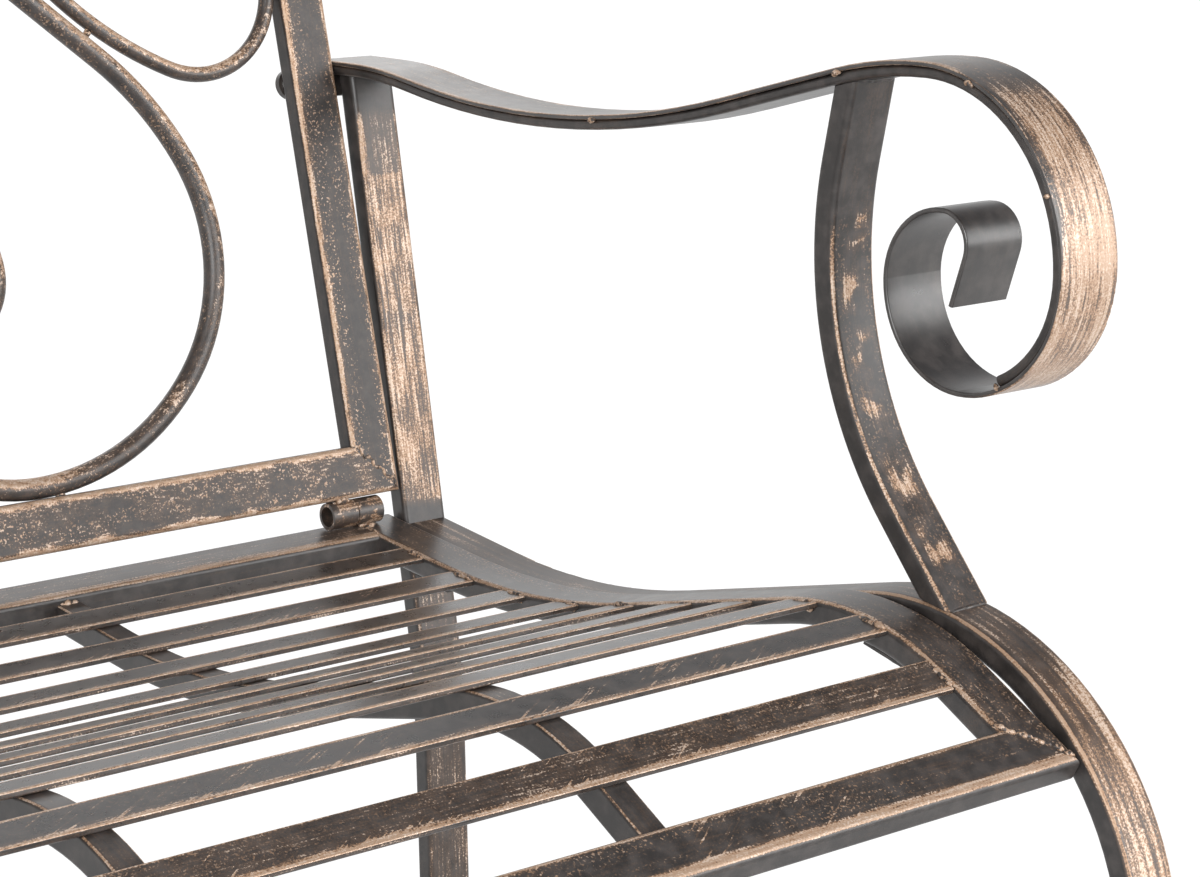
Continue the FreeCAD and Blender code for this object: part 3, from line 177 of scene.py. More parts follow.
class Finish:
    """A material under construction, with the place and facing of the surface at rest."""

    def __init__(self, name):
        self.material = bpy.data.materials.new(name)
        self.material.use_nodes = True
        self.tree = self.material.node_tree
        self.tree.nodes.clear()
        coordinates = ("Object", "Normal", "Generated")
        self.place, self.facing, self.spread = self.node("ShaderNodeTexCoord", out=coordinates)
        self.x, self.y, self.z = self.axes(self.place)
        self.nx, self.ny, self.nz = self.axes(self.facing)

    def node(self, kind, settings=None, sockets=None, out=0):
        """Add a node: its settings first, then the values or links of its sockets."""
        made = self.tree.nodes.new(kind)
        for key, value in (settings or {}).items():
            setattr(made, key, value)
        for key, value in (sockets or {}).items():
            socket = pick(made.inputs, key)
            if isinstance(value, Wire):
                self.tree.links.new(value.socket, socket)
            else:
                socket.default_value = value
        if isinstance(out, tuple):
            return [Wire(self, pick(made.outputs, key)) for key in out]
        return Wire(self, pick(made.outputs, out)) if made.outputs else None

    def axes(self, vector):
        return self.node("ShaderNodeSeparateXYZ", None, {0: vector}, (0, 1, 2))

    def ramp(self, value, low, high):
        """0 before low and 1 past high, smooth between them."""
        sockets = {"Value": value, "From Min": low, "From Max": high}
        return self.node("ShaderNodeMapRange", {"interpolation_type": "SMOOTHSTEP"}, sockets)

    def stretched(self, factors):
        """Place with each direction scaled, for grain that runs along a piece."""
        sockets = {0: self.place, 1: factors}
        return self.node("ShaderNodeVectorMath", {"operation": "MULTIPLY"}, sockets)

    def grain(self, vector, scale, detail):
        """Uneven marks, about 0.5 on average."""
        sockets = {"Vector": vector, "Scale": scale, "Detail": detail, "Roughness": GRAIN_ROUGHNESS}
        return self.node("ShaderNodeTexNoise", None, sockets)

    def blend(self, low, high, share):
        """Colour between two others."""
        sockets = {"Factor_Float": share, "A_Color": low, "B_Color": high}
        return self.node("ShaderNodeMix", {"data_type": "RGBA"}, sockets, "Result_Color")

    def bump(self, height, strength, depth):
        sockets = {"Strength": strength, "Distance": depth, "Height": height}
        return self.node("ShaderNodeBump", None, sockets)

    def shade(self, **sockets):
        """Close the material with a surface shader."""
        named = {key.replace("_", " "): value for key, value in sockets.items()}
        surface = self.node("ShaderNodeBsdfPrincipled", None, named)
        self.node("ShaderNodeOutputMaterial", None, {"Surface": surface})
        return self.material


# How far each direction is squeezed, for marks that run along the pieces
ALONG_WIDTH = (0.05, 1, 1)
ALONG_SIDE = (1, 0.05, 0.05)
ALONG_BACK = (0.32, 1, 0.32)
ALONG_STILE = (1, 0.30, 0.06)
ALONG_BACK_RAIL = (0.25, 1, 1)
ON_POST = (0.8, 1, 0.7)
TURNED = (1, 1, 0.2)
EVERY_WAY = (1, 1, 1)

# Where the grain starts to show in the paint, and where it shows fully
HAZE = (0.05, 0.60)
COVER = (0.43, 0.64)
FULL_BRONZE = (0.46, 0.72)
PALE_BRONZE = (1.00, 1.26)
DOTTED = (0.59, 0.67)
GATHERED = (0.42, 0.60)
WORN = (0.35, 0.75)


def dry_brushed(finish, load, along, coarse=900, rough=0.38, specks=0.0, gloss=0.5, fleck=0.80):
    """Charcoal satin paint with copper bronze dragged over it where the brush was loaded."""
    streaks = finish.grain(finish.stretched(along), coarse, 3)
    flecks = finish.grain(finish.place, FLECK_GRAIN, 2)
    patches = finish.grain(finish.place, PATCH_GRAIN, 2)
    amount = load + 0.85 * (streaks - 0.5) + fleck * (flecks - 0.5) + 0.40 * (patches - 0.5)
    dots = finish.ramp(finish.grain(finish.place, DOT_GRAIN, 1), *DOTTED)
    gathered = finish.ramp(finish.grain(finish.stretched(along), GATHER_GRAIN, 2), *GATHERED)
    spotted = specks * dots * gathered
    brushed = finish.ramp(amount, *COVER)
    bronze = brushed | spotted
    haze = finish.ramp(amount, *HAZE)
    mottle = finish.grain(finish.place, MOTTLE_GRAIN, 3)
    paint = finish.blend(CHARCOAL, CHARCOAL_WORN, finish.ramp(mottle, *WORN))
    glazed = finish.blend(paint, GLAZE, 0.45 * haze)
    metal = finish.blend(BRONZE_DEEP, BRONZE, finish.ramp(amount, *FULL_BRONZE) | 0.9 * spotted)
    metal = finish.blend(metal, BRONZE_PALE, finish.ramp(streaks + flecks, *PALE_BRONZE))
    colour = finish.blend(glazed, metal, bronze)
    peel = finish.grain(finish.place, PEEL_GRAIN, 2)
    height = 0.30 * peel + 0.60 * brushed + 0.20 * streaks
    return finish.shade(
        Base_Color=colour,
        Metallic=0.30 * bronze,
        Roughness=rough + 0.10 * bronze + 0.16 * (mottle - 0.5),
        Specular_IOR_Level=gloss,
        Normal=finish.bump(height, 0.22, 0.25 * MM),
    )


def side_face(finish):
    """Faces toward the sides of the chair."""
    return finish.ramp(abs(finish.nx), 0.80, 0.95)


def side_corner(finish):
    """Rounded corners next to the faces toward the sides."""
    toward = abs(finish.nx)
    return finish.ramp(toward, 0.10, 0.45) * finish.ramp(toward, 0.98, 0.75)


def square_to_back(finish):
    """1 on faces that lie in the reclined plane of the back, 0 on faces square to it."""
    return abs(finish.ny * BACK_REAR.y + finish.nz * BACK_REAR.z)


def rim(finish, middle, half, reach):
    """Edges of a broad face along the side frames: toward the seat and away from it."""
    offset = abs(finish.x) - middle
    inner = finish.ramp(offset, -half + reach, -half)
    outer = finish.ramp(offset, half - reach, half)
    return inner, outer


def scratched(finish):
    """Groups of fine slanting scratches from the seat's use."""
    along = 0.85 * finish.x + 0.50 * finish.y
    over = 0.85 * finish.y - 0.50 * finish.x
    sockets = {0: 0.06 * along, 1: over, 2: 0.3 * finish.z}
    slanted = finish.node("ShaderNodeCombineXYZ", None, sockets)
    lines = finish.ramp(finish.grain(slanted, SCRATCH_GRAIN, 1), 0.56, 0.68)
    return lines * finish.ramp(finish.grain(finish.place, SCRATCH_GROUP_GRAIN, 1), 0.42, 0.62)


def slat_paint():
    finish = Finish("slat_bronzed_paint")
    depth = finish.axes(finish.spread)[1]
    top = finish.ramp(finish.nz, 0.55, 0.85)
    front = finish.ramp(depth, 0.30, 0.02)
    rear = finish.ramp(depth, 0.80, 0.96) * finish.ramp(finish.nz, 0.15, 0.45)
    edge_face = finish.ramp(finish.ny, -0.30, -0.65)
    edge_top = edge_face * finish.ramp(finish.nz, 0.12, 0.40)
    level = finish.ramp(finish.nz, 0.955, 0.985)
    load = top * (0.11 + 0.62 * front + 0.42 * scratched(finish) - 0.08 * level)
    load = load | 0.74 * rear | 0.72 * edge_top | 0.28 * edge_face
    return dry_brushed(finish, load, ALONG_WIDTH, rough=0.29, specks=0.45 * top * (1 - 0.7 * level))


def front_rail_paint():
    finish = Finish("front_rail_bronzed_paint")
    depth = finish.axes(finish.spread)[1]
    top = finish.ramp(finish.nz, 0.20, 0.60)
    front = finish.ramp(depth, 0.22, 0.10)
    rear = finish.ramp(depth, 0.68, 0.77)
    load = top * (0.12 + 0.62 * front + 0.52 * rear + 0.34 * scratched(finish)) | 0.02
    return dry_brushed(finish, load, ALONG_WIDTH, specks=0.6 * top)


def rear_rail_paint():
    finish = Finish("rear_rail_bronzed_paint")
    depth = finish.axes(finish.spread)[1]
    top = finish.ramp(finish.nz, 0.45, 0.80)
    front = finish.ramp(depth, 0.30, 0.10)
    load = top * (0.30 + 0.42 * front) | 0.05
    return dry_brushed(finish, load, ALONG_WIDTH)


def seat_rail_paint():
    finish = Finish("seat_rail_bronzed_paint")
    side, corner = side_face(finish), side_corner(finish)
    top = finish.ramp(finish.nz, 0.30, 0.70)
    inner, outer = rim(finish, SEAT_RAIL_MIDDLE, HALF_TUBE, SEAT_RAIL_RIM)
    load = top * (0.17 + 0.54 * inner + 0.36 * outer) | 0.66 * corner * top | 0.03 * side
    return dry_brushed(finish, load, ALONG_SIDE, rough=0.33, specks=0.7 * top)


def brace_paint():
    finish = Finish("brace_bronzed_paint")
    top = finish.ramp(finish.nz, 0.30, 0.70)
    load = top * 0.20 | 0.60 * side_corner(finish) * top
    return dry_brushed(finish, load, ALONG_SIDE)


def leg_rail_paint():
    finish = Finish("leg_rail_bronzed_paint")
    side, corner = side_face(finish), side_corner(finish)
    outward = finish.ramp(finish.nz - finish.ny, 0.15, 0.60)
    knee = finish.ramp(finish.y, *RAIL_KNEE)
    rear = finish.ramp(finish.y, *RAIL_REAR)
    load = outward * (0.34 + 0.20 * knee + 0.06 * rear)
    load = load | 0.74 * corner * outward | 0.06 * (1 - side)
    return dry_brushed(finish, load, ALONG_SIDE, coarse=300, specks=0.4 * outward, fleck=0.45)


def rear_leg_paint():
    finish = Finish("rear_leg_bronzed_paint")
    side, corner = side_face(finish), side_corner(finish)
    front = finish.ramp(finish.ny, -0.25, -0.65)
    rear = finish.ramp(finish.ny, 0.25, 0.65)
    inner, outer = rim(finish, SIDE_FRAME_MIDDLE, HALF_TUBE, REAR_LEG_RIM)
    brushed = finish.ramp(finish.z, *LEG_BRUSHED_HEAD) * finish.ramp(finish.z, *LEG_BRUSHED_FOOT)
    upper = finish.ramp(finish.z, *LEG_UPPER_HEAD) * finish.ramp(finish.z, *LEG_UPPER_FOOT)
    lower = finish.ramp(finish.z, *LEG_BELOW_SEAT)
    load = front * (0.53 * brushed + upper * (0.39 + 0.30 * inner + 0.14 * outer) + 0.36 * lower)
    load = load | 0.46 * corner * (brushed | lower | rear) | 0.16 * lower * (1 - side) | 0.38 * rear
    return dry_brushed(finish, load, ALONG_SIDE, coarse=820, fleck=0.55)


def front_post_paint():
    finish = Finish("front_post_bronzed_paint")
    corner = side_corner(finish)
    front = finish.ramp(finish.ny, -0.15, -0.55)
    centre = finish.ramp(abs(abs(finish.x) - SIDE_FRAME_MIDDLE), 10 * MM, 4 * MM)
    lower = finish.ramp(finish.z, *POST_BARE_END)
    ragged = finish.ramp(finish.grain(finish.stretched(ON_POST), POST_MARK_GRAIN, 2), 0.36, 0.54)
    marks = 0.18 * lower
    for height in POST_MARKS:
        marks = marks | finish.ramp(abs(finish.z - height), 13 * MM, 3 * MM)
    load = front * (0.07 + 0.54 * marks * ragged * centre) | 0.60 * corner * lower * front
    return dry_brushed(finish, load, ALONG_SIDE, specks=0.35 * front * lower)


def arm_strip_paint():
    finish = Finish("arm_strip_bronzed_paint")
    corner = side_corner(finish)
    inner, outer = rim(finish, SIDE_FRAME_MIDDLE, HALF_STRIP, ARM_RIM)
    top = finish.ramp(finish.nz, 0.10, 0.50)
    behind = finish.y - STRIP_FRONT
    rolled = finish.ramp(behind, *SCROLL_ROLLED)
    front = finish.ramp(behind, *SCROLL_FRONT)
    away, above = behind - SCROLL_CENTRE_SET, finish.z - SCROLL_CENTRE_HEIGHT
    outside = finish.ramp(away * finish.ny + above * finish.nz, *SCROLL_OUTSIDE)
    missed = inner * finish.ramp(finish.z, *SCROLL_MISSED)
    scroll = outside * front * (0.63 - 0.40 * missed - 0.06 * outer)
    crest = finish.ramp(finish.z, *ARM_CREST)
    elbow = top * crest * (0.32 + 0.34 * inner + 0.24 * outer) * (1 - rolled)
    edge = 0.58 * inner * top * (1 - front) * finish.ramp(finish.z, *ARM_EDGE)
    load = elbow | scroll | edge | 0.52 * corner * crest
    specks = 0.8 * top * crest
    return dry_brushed(finish, load, ALONG_SIDE, rough=0.31, specks=specks, gloss=0.9, fleck=0.60)


def arm_tube_paint():
    finish = Finish("arm_tube_bronzed_paint")
    load = 0.06 + 0.14 * side_corner(finish)
    return dry_brushed(finish, load, ALONG_SIDE, coarse=820, rough=0.34)


def stile_paint():
    finish = Finish("stile_bronzed_paint")
    broad = finish.ramp(square_to_back(finish), 0.3, 0.8)
    inner, outer = rim(finish, STILE_MIDDLE, HALF_TUBE, STILE_RIM)
    corner = side_corner(finish)
    load = broad * (0.12 + 0.66 * (inner | outer)) | 0.72 * corner | 0.04
    return dry_brushed(finish, load, ALONG_STILE, specks=0.95 * broad, gloss=0.32)


def back_rail_paint():
    finish = Finish("back_rail_bronzed_paint")
    square = square_to_back(finish)
    broad = finish.ramp(square, 0.3, 0.8)
    corner = finish.ramp(square, 0.15, 0.5) * finish.ramp(square, 0.99, 0.80)
    flecked = finish.ramp(finish.grain(finish.place, BACK_RAIL_MARK_GRAIN, 1), 0.42, 0.62)
    up = finish.y * BACK_UP.y + finish.z * BACK_UP.z
    ends = [v.co.dot(BACK_UP) for v in NODES["back_bottom_rail"].data.vertices]
    foot, head = min(ends), max(ends)
    below_top_rail = finish.ramp(up, head + 9 * MM, head + 3 * MM)
    upper_edge = finish.ramp(up, head - BACK_RAIL_RIM, head) * below_top_rail
    edge = finish.ramp(up, foot + BACK_RAIL_RIM, foot) | upper_edge
    load = broad * (0.15 + 0.22 * flecked + 0.56 * edge) | 0.76 * corner | 0.06
    return dry_brushed(finish, load, ALONG_BACK_RAIL, specks=broad, gloss=0.32)


def rod_paint():
    finish = Finish("rod_bronzed_paint")
    lit = finish.ramp(finish.nz + 0.6 * finish.nx - 0.3 * finish.ny, 0.1, 0.9)
    strokes = finish.ramp(finish.grain(finish.place, ROD_STROKE_GRAIN, 1), 0.38, 0.62)
    load = 0.20 + lit * (0.20 + 0.28 * strokes)
    return dry_brushed(finish, load, ALONG_BACK, specks=0.6)


def hinge_paint():
    finish = Finish("hinge_bronzed_paint")
    strokes = finish.ramp(finish.grain(finish.place, HINGE_STROKE_GRAIN, 1), 0.40, 0.62)
    load = 0.28 + 0.28 * strokes
    return dry_brushed(finish, load, ALONG_WIDTH, coarse=820)


def plate_paint():
    """Plain paint of the small plates and of what the brush missed."""
    finish = Finish("plate_paint")
    load = 0.06 + 0.08 * finish.ramp(finish.nz, 0.4, 0.9)
    return dry_brushed(finish, load, ALONG_SIDE)


def weld_paint():
    finish = Finish("weld_bronzed_paint")
    lumps = finish.grain(finish.place, WELD_LUMP_GRAIN, 3)
    load = 0.20 + 0.62 * finish.ramp(lumps, 0.36, 0.62)
    return dry_brushed(finish, load, EVERY_WAY, coarse=620, rough=0.46)


def bolt_steel():
    """Zinc-plated steel with fine turning marks and dulled patches."""
    finish = Finish("bolt_zinc_plate")
    dull = finish.grain(finish.place, ZINC_DULL_GRAIN, 3)
    marks = finish.grain(finish.stretched(TURNED), ZINC_TURNING_GRAIN, 1)
    colour = finish.blend(ZINC_DULL, ZINC_BRIGHT, finish.ramp(dull, 0.35, 0.65))
    return finish.shade(
        Base_Color=colour,
        Metallic=0.5,
        Roughness=0.34 + 0.22 * dull,
        Normal=finish.bump(marks, 0.15, 0.05 * MM),
    )


def foot_plastic():
    """Moulded black plastic with a fine matt grain and scuffed edges."""
    finish = Finish("foot_moulded_plastic")
    pebble = finish.grain(finish.place, PLASTIC_PEBBLE_GRAIN, 2)
    near_floor = finish.ramp(finish.z, 4 * MM, 0.0)
    scuff = finish.ramp(finish.grain(finish.place, PLASTIC_SCUFF_GRAIN, 3), 0.52, 0.72) * near_floor
    colour = finish.blend(PLASTIC, PLASTIC_SCUFFED, scuff)
    return finish.shade(
        Base_Color=colour,
        Roughness=0.62 + 0.14 * (pebble - 0.5),
        Normal=finish.bump(pebble, 0.20, 0.12 * MM),
    )


# Which finish each piece of the frame takes
FINISHES = (
    (slat_paint, ("seat_slat",)),
    (front_rail_paint, ("seat_front_rail",)),
    (rear_rail_paint, ("seat_rear_rail",)),
    (seat_rail_paint, ("seat_side_rail",)),
    (brace_paint, ("seat_brace",)),
    (leg_rail_paint, ("leg_rail",)),
    (rear_leg_paint, ("rear_leg",)),
    (front_post_paint, ("arm_front_post",)),
    (arm_strip_paint, ("arm_strip",)),
    (arm_tube_paint, ("arm_core",)),
    (stile_paint, ("back_stile",)),
    (back_rail_paint, ("back_bottom_rail", "back_top_rail")),
    (rod_paint, ("heart_rod", "oval_ring")),
    (hinge_paint, ("hinge",)),
    (plate_paint, ("back_tab", "seat_bracket")),
    (bolt_steel, ("seat_bolt", "back_bolt")),
    (foot_plastic, ("front_foot", "rear_foot")),
)
for make, starts in FINISHES:
    material = make()
    for name, node in NODES.items():
        if name.startswith(starts):
            node.data.materials.clear()
            node.data.materials.append(material)

# Weld beads, laid on the faces of the frame
weld_finish = weld_paint()
dark_weld = NODES["back_tab_right"].data.materials[0]
BEAD_SEED = 11
BEAD_PITCH = 1.3 * MM
BEAD_SIDES = 9
BEAD_TIP = 0.22
BEAD_RIPPLE = 0.14
BEAD_RIPPLE_STEP = 2.4
BEAD_UNEVEN = (-0.20, 0.24)
BEAD_DRIFT = (-0.3, 0.3)
BEAD_LUMPS = (0.82, 1.2)
rng = random.Random(BEAD_SEED)
trees = {}


def tree(node):
    """Search tree over the faces of a piece of the frame."""
    if node not in trees:
        mesh = NODES[node].data
        corners = [vertex.co for vertex in mesh.vertices]
        trees[node] = BVHTree.FromPolygons(corners, [face.vertices for face in mesh.polygons])
    return trees[node]


def touch(node, start, toward):
    """Where a line from a point meets a piece of the frame."""
    return tree(node).ray_cast(Vector(start), Vector(toward))[0]


def seam(first, second, near):
    """Place in the narrow gap between two pieces, close to a point."""
    spot = Vector(near)
    for _ in range(8):
        spot = (tree(first).find_nearest(spot)[0] + tree(second).find_nearest(spot)[0]) / 2
    return spot


def across_seam(first, second, middle, reach):
    """Path along a seam from side to side of the chair, around a middle point."""
    x, y, z = middle
    shares = (-1, -0.5, 0, 0.5, 1)
    return [seam(first, second, (x + share * reach, y, z)) for share in shares]


def lay_bead(mesh, path, thick):
    """Lumpy run of weld metal along a path, tapered at its ends."""
    lengths = [0]
    for start, end in zip(path, path[1:]):
        lengths.append(lengths[-1] + (end - start).length)
    count = max(4, round(lengths[-1] / BEAD_PITCH))
    rings = []
    for index in range(count + 1):
        along = lengths[-1] * index / count
        leg = max(i for i in range(len(path) - 1) if lengths[i] <= along + 1e-9)
        share = (along - lengths[leg]) / (lengths[leg + 1] - lengths[leg])
        ahead = (path[leg + 1] - path[leg]).normalized()
        centre = path[leg].lerp(path[leg + 1], share)
        sideways = ahead.orthogonal().normalized()
        beyond = ahead.cross(sideways)
        fill = min(1, BEAD_TIP + (1 - BEAD_TIP) * min(index, count - index) / 2)
        taper = math.sin(math.pi * fill / 2)
        ripple = 1 + BEAD_RIPPLE * math.cos(BEAD_RIPPLE_STEP * index) + rng.uniform(*BEAD_UNEVEN)
        drift = sideways * rng.uniform(*BEAD_DRIFT) * thick
        drift += beyond * rng.uniform(*BEAD_DRIFT) * thick
        ring = []
        for turn in range(BEAD_SIDES):
            angle = 2 * math.pi * turn / BEAD_SIDES
            reach = thick * taper * ripple * rng.uniform(*BEAD_LUMPS)
            outward = sideways * math.cos(angle) + beyond * math.sin(angle)
            ring.append(mesh.verts.new(centre + drift + outward * reach))
        rings.append(ring)
    for low, high in zip(rings, rings[1:]):
        for turn in range(BEAD_SIDES):
            following = (turn + 1) % BEAD_SIDES
            mesh.faces.new((low[turn], low[following], high[following], high[turn]))
    mesh.faces.new(reversed(rings[0]))
    mesh.faces.new(rings[-1])


def weld_piece(name, body, runs, paint=weld_finish):
    """One group of weld beads, each given by its path and thickness."""
    mesh = bmesh.new()
    for path, thick in runs:
        lay_bead(mesh, [Vector(point) for point in path], thick)
    bmesh.ops.recalc_face_normals(mesh, faces=mesh.faces)
    data = bpy.data.meshes.new(name)
    mesh.to_mesh(data)
    mesh.free()
    for face in data.polygons:
        face.use_smooth = True
    piece = bpy.data.objects.new(name, data)
    bpy.context.scene.collection.objects.link(piece)
    piece.modifiers.new("rounding", "SUBSURF").render_levels = 1
    piece.data.materials.append(paint)
    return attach(piece, body)


def mirrored(runs):
    """Runs of the right side, and the same on the left."""
    return runs + [([Vector((-p[0], p[1], p[2])) for p in path], thick) for path, thick in runs]


def slat_runs():
    """A short rough bead along each slat end, against the side rail."""
    runs = []
    for name in sorted(NODES):
        if not name.startswith("seat_slat"):
            continue
        end = [v.co for v in NODES[name].data.vertices if v.co.x > SEAT_INNER - 0.1 * MM]
        front = min(end, key=lambda co: co.y)
        rear = max(end, key=lambda co: co.y)
        lift = Vector((-0.4 * MM, 0, 1.1 * MM))
        ends = [front.lerp(rear, 0.04) + lift, front.lerp(rear, rng.uniform(0.45, 0.9)) + lift]
        runs.append((ends, rng.uniform(1.1, 1.5) * MM))
        under = Vector((-0.3 * MM, 0, -1.2 * MM))
        runs.append(([front.lerp(rear, 0.1) + under, front.lerp(rear, 0.6) + under], 1.3 * MM))
    return runs


def seat_corner_runs():
    """Rough beads over the mitres at the front corners and at the ends of the rear rail."""
    low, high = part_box("seat_front_rail")
    rear_low, rear_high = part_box("seat_rear_rail")
    rails = ("seat_front_rail", "seat_side_rail_right")
    down = (0, 0, -1)
    mitre = []
    for step in range(9):
        share = 0.03 + 0.94 * step / 8
        x = SEAT_INNER + share * 2 * HALF_TUBE
        y = high.y - 1.5 * MM + share * (low.y - high.y + 3.5 * MM) + rng.uniform(-1.2, 1.2) * MM
        spots = [touch(node, (x, y, 1), down) for node in rails]
        mitre.append(max((spot for spot in spots if spot), key=lambda spot: spot.z))
    butt = []
    for share in (0.1, 0.4, 0.7, 0.95):
        y = rear_low.y + share * (rear_high.y - rear_low.y)
        butt.append(touch("seat_side_rail_right", (SEAT_INNER + 1.2 * MM, y, 1), down))
    return [(mitre, 1.25 * MM), (butt, 1.0 * MM)]


def brace_runs():
    """Beads where the braces under the slats meet the front and rear rails."""
    middle, half = across("seat_brace_right")
    low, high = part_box("seat_brace_right")
    ends = (("seat_front_rail", low.y, low.z), ("seat_rear_rail", high.y, high.z))
    return [
        (across_seam("seat_brace_right", rail, (middle, y, z), half - 1.5 * MM), 1.5 * MM)
        for rail, y, z in ends
    ]


def arm_tack_runs():
    """Short tacks between the arm strip and the flat tube under it."""
    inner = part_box("arm_core_right")[0].x - 0.3 * MM
    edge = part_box("arm_strip_right")[0].x
    runs = []
    for behind, height in ARM_TACKS:
        spots = []
        for step in (-2.4, 0, 2.4):
            near = (inner, STRIP_FRONT + behind + step * MM, height)
            spot = seam("arm_strip_right", "arm_core_right", near)
            spots.append(Vector((edge - 0.2 * MM, spot.y, spot.z)))
        runs.append((spots, rng.uniform(1.2, 1.6) * MM))
    return runs


def end_run(piece, other, top, thick):
    """Bead across the front edge of a piece where its end meets another."""
    middle, half = across(piece)
    level = (max if top else min)(v.co.z for v in NODES[piece].data.vertices)
    end = [v.co for v in NODES[piece].data.vertices if abs(v.co.z - level) < 2 * MM]
    front = min(co.y for co in end)
    return across_seam(piece, other, (middle, front, level), half - 2 * MM), thick


def post_runs():
    """Beads at the top and foot of the front posts."""
    return [
        end_run("arm_front_post_right", "arm_core_right", True, 1.3 * MM),
        end_run("arm_front_post_right", "leg_rail_right", False, 0.9 * MM),
    ]


def hinge_runs(barrel, rail, rise):
    """Blob of weld on the front of a hinge barrel, against its rail."""
    middle, half = across(barrel)
    start = (middle, HINGE.y - 4 * MM, HINGE.z + rise)
    path = across_seam(barrel, rail, start, 0.5 * half)
    return [([spot + Vector((0, -1.2 * MM, 0)) for spot in path], 1.9 * MM)]


def back_corner_runs():
    """Zigzag bead over the mitre at each lower corner of the back."""
    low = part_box("back_bottom_rail")[0]
    foot = (low.z - HINGE.z) / BACK_UP.z + 2.5 * MM
    path = []
    for step in range(9):
        share = 0.04 + 0.92 * step / 8
        sway = (1.1 if step % 2 else -1.1) * MM
        up = foot + (1 - share) * 2 * HALF_TUBE + sway
        start = HINGE + BACK_UP * up - 0.1 * BACK_REAR
        start.x = STILE_MIDDLE + (2 * share - 1) * HALF_TUBE + sway
        spots = [touch(node, start, BACK_REAR) for node in ("back_stile_right", "back_bottom_rail")]
        spots = [spot for spot in spots if spot]
        if spots:
            path.append(min(spots, key=lambda spot: (spot - start).length))
    return [(path, 0.85 * MM)]


def rod_tack_runs():
    """Tacks of the rods on each other and on the rails of the back."""
    oval_top = max((v.co for v in NODES["oval_ring_right"].data.vertices), key=lambda co: co.z)
    tacks = (
        ("heart_rod_right", "oval_ring_right", (0.150, HINGE.y + 0.054, HINGE.z + 0.223)),
        ("heart_rod_right", "back_bottom_rail", (0.100, HINGE.y + 0.007, HINGE.z + 0.031)),
        ("oval_ring_right", "back_top_rail", oval_top),
    )
    runs = []
    for first, second, near in tacks:
        spot = seam(first, second, near)
        reach = Vector((2.6 * MM, 0, 0)) if second == "back_bottom_rail" else 2.2 * MM * BACK_UP
        runs.append(([spot - reach, spot, spot + reach], 1.7 * MM))
    return runs


# The beads draw their unevenness from one seed, so their order stays
weld_piece("slat_weld_beads", "chair_frame", mirrored(slat_runs()))
weld_piece("seat_corner_weld_beads", "chair_frame", mirrored(seat_corner_runs()))
weld_piece("brace_weld_beads", "chair_frame", mirrored(brace_runs()))
weld_piece("arm_tack_welds", "chair_frame", mirrored(arm_tack_runs()))
weld_piece("post_weld_beads", "chair_frame", mirrored(post_runs()), dark_weld)
seat_blob = hinge_runs("hinge_seat_knuckle_right", "seat_side_rail_right", -5 * MM)
back_blob = hinge_runs("hinge_back_knuckle_right", "back_bottom_rail", 6 * MM)
weld_piece("hinge_weld_beads", "chair_frame", mirrored(seat_blob))
weld_piece("hinge_back_weld_beads", "backrest", mirrored(back_blob))
weld_piece("back_corner_weld_beads", "backrest", mirrored(back_corner_runs()))
weld_piece("rod_tack_welds", "backrest", mirrored(rod_tack_runs()))

# Studio: pale floor, and a sky that shows white
SHOWN_WHITE = 1.08
SHADOW_SHARE = 0.45
SHADOW_REACH = (1.1, 0.5)
FLOOR_REACH = 12.0
FLOOR_TONES = ((0.84, 0.84, 0.84, 1), (0.88, 0.88, 0.88, 1))
WHITE = (1, 1, 1, 1)
SKY_OVERHEAD = (0.14, 0.14, 0.15, 1)
SKY_FALL = (0.06, 0.52)
SKY_LIFT_IN_GLOSS = 0.22
SHOWING_RAYS = ("Is Camera Ray", "Is Glossy Ray", "Is Transmission Ray")


def seen_directly(finish):
    """Rays that show the background rather than light the chair."""
    camera, glossy, through = finish.node("ShaderNodeLightPath", out=SHOWING_RAYS)
    return camera | glossy | through


def studio_floor():
    finish = Finish("studio_floor_white")
    tone = finish.grain(finish.place, FLOOR_GRAIN, 2)
    colour = finish.blend(*FLOOR_TONES, tone)
    lit = finish.node("ShaderNodeBsdfDiffuse", None, {"Color": colour})
    white = finish.node("ShaderNodeEmission", None, {"Color": WHITE, "Strength": SHOWN_WHITE})
    length = {"operation": "LENGTH"}
    distance = finish.node("ShaderNodeVectorMath", length, {0: finish.place}, "Value")
    shown = 1 - SHADOW_SHARE * finish.ramp(distance, *SHADOW_REACH)
    sockets = {0: shown * seen_directly(finish), 1: lit, 2: white}
    mixed = finish.node("ShaderNodeMixShader", None, sockets)
    finish.node("ShaderNodeOutputMaterial", None, {"Surface": mixed})
    return finish.material


floor_mesh = bpy.data.meshes.new("studio_floor")
floor_sides = ((-1, -1), (1, -1), (1, 1), (-1, 1))
floor_corners = [(FLOOR_REACH * x, FLOOR_REACH * y, 0) for x, y in floor_sides]
floor_mesh.from_pydata(floor_corners, [], [(0, 1, 2, 3)])
floor = bpy.data.objects.new("studio_floor", floor_mesh)
floor.data.materials.append(studio_floor())
bpy.context.scene.collection.objects.link(floor)


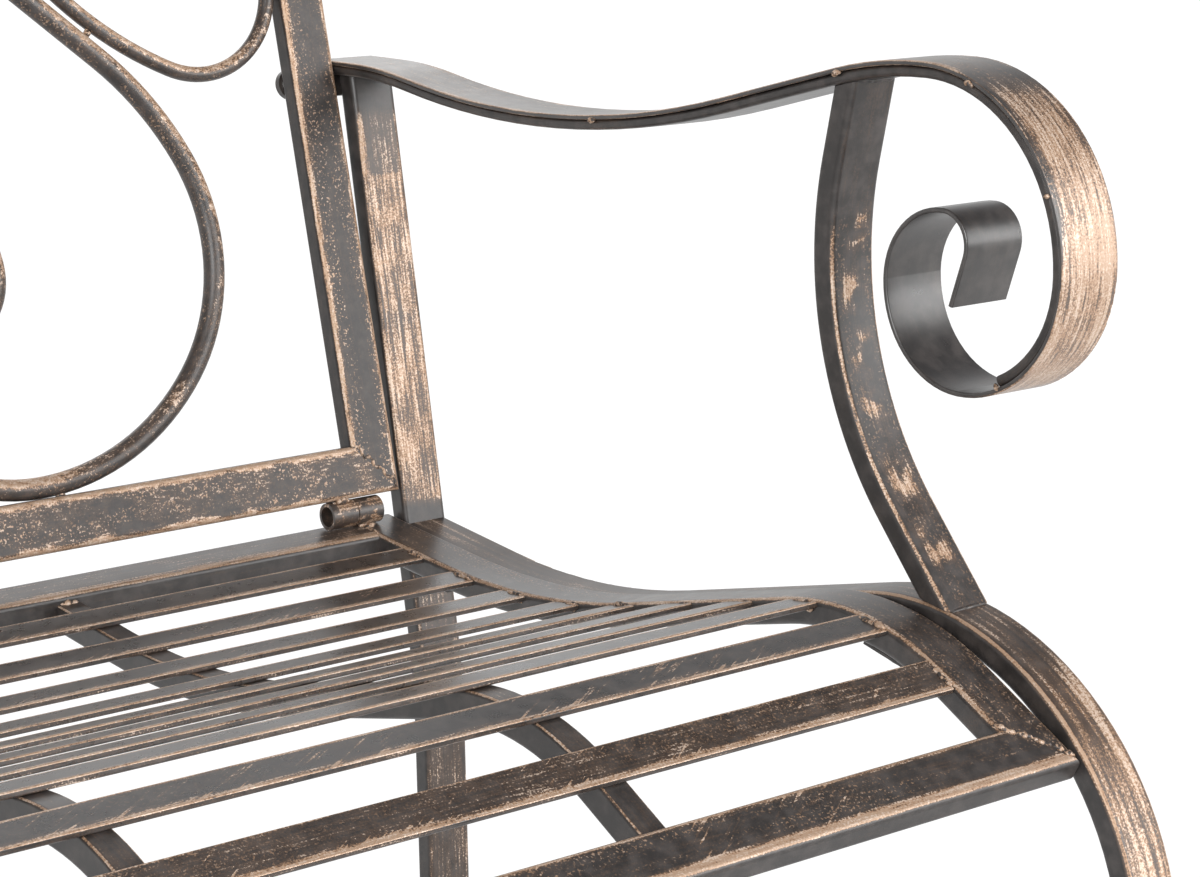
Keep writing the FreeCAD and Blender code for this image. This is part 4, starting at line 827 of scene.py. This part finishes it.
class Sky(Finish):
    """The world's own nodes, built the same way: bright at the horizon, dimmer overhead."""

    def __init__(self, world):
        world.use_nodes = True
        self.tree = world.node_tree
        self.tree.nodes.clear()
        outward = self.node("ShaderNodeTexCoord", out="Generated")
        height = self.axes(outward)[2]
        camera, glossy, through = self.node("ShaderNodeLightPath", out=SHOWING_RAYS)
        fall = self.ramp(height - SKY_LIFT_IN_GLOSS * glossy, *SKY_FALL)
        colour = self.blend(WHITE, SKY_OVERHEAD, fall)
        light = self.node("ShaderNodeBackground", None, {"Color": colour, "Strength": 1.0})
        white = self.node("ShaderNodeBackground", None, {"Color": WHITE, "Strength": 1.0})
        mixed = self.node("ShaderNodeMixShader", None, {0: camera | through, 1: light, 2: white})
        self.node("ShaderNodeOutputWorld", None, {"Surface": mixed})


world = bpy.data.worlds.new("studio_world")
bpy.context.scene.world = world
Sky(world)

# Soft lamps: place, width and height in metres, and power in watts
SEAT_MIDDLE = Vector((0, 0, 0.45))
SOFTBOXES = (
    ("key_softbox", (1.3, -2.5, 1.35), 2.0, 1.8, 82),
    ("fill_softbox", (-1.9, -1.9, 1.6), 1.6, 1.6, 74),
    ("overhead_softbox", (0.3, 0.6, 2.8), 2.2, 2.2, 7),
    ("rear_softbox", (0.9, 2.4, 1.9), 2.2, 1.8, 15),
)
for name, place, width, height, power in SOFTBOXES:
    lamp = bpy.data.lights.new(name, "AREA")
    lamp.shape = "RECTANGLE"
    lamp.size, lamp.size_y = width, height
    lamp.energy = power
    box = bpy.data.objects.new(name, lamp)
    box.location = place
    box.rotation_euler = (SEAT_MIDDLE - Vector(place)).to_track_quat("-Z", "Y").to_euler()
    bpy.context.scene.collection.objects.link(box)

# Camera at the viewing angle of the picture
CAMERA_PLACE = (-0.55106, -0.97084, 0.77544)
CAMERA_AHEAD = Vector((0.6235, 0.7513, -0.2161))
camera = bpy.data.cameras.new("camera")
camera.lens = 93
camera.sensor_width = 36
camera.sensor_fit = "HORIZONTAL"
camera.clip_start = 0.01
viewer = bpy.data.objects.new("camera", camera)
viewer.location = CAMERA_PLACE
viewer.rotation_mode = "QUATERNION"
viewer.rotation_quaternion = CAMERA_AHEAD.to_track_quat("-Z", "Y")
bpy.context.scene.collection.objects.link(viewer)
bpy.context.scene.camera = viewer
bpy.context.scene.view_settings.view_transform = "Standard"
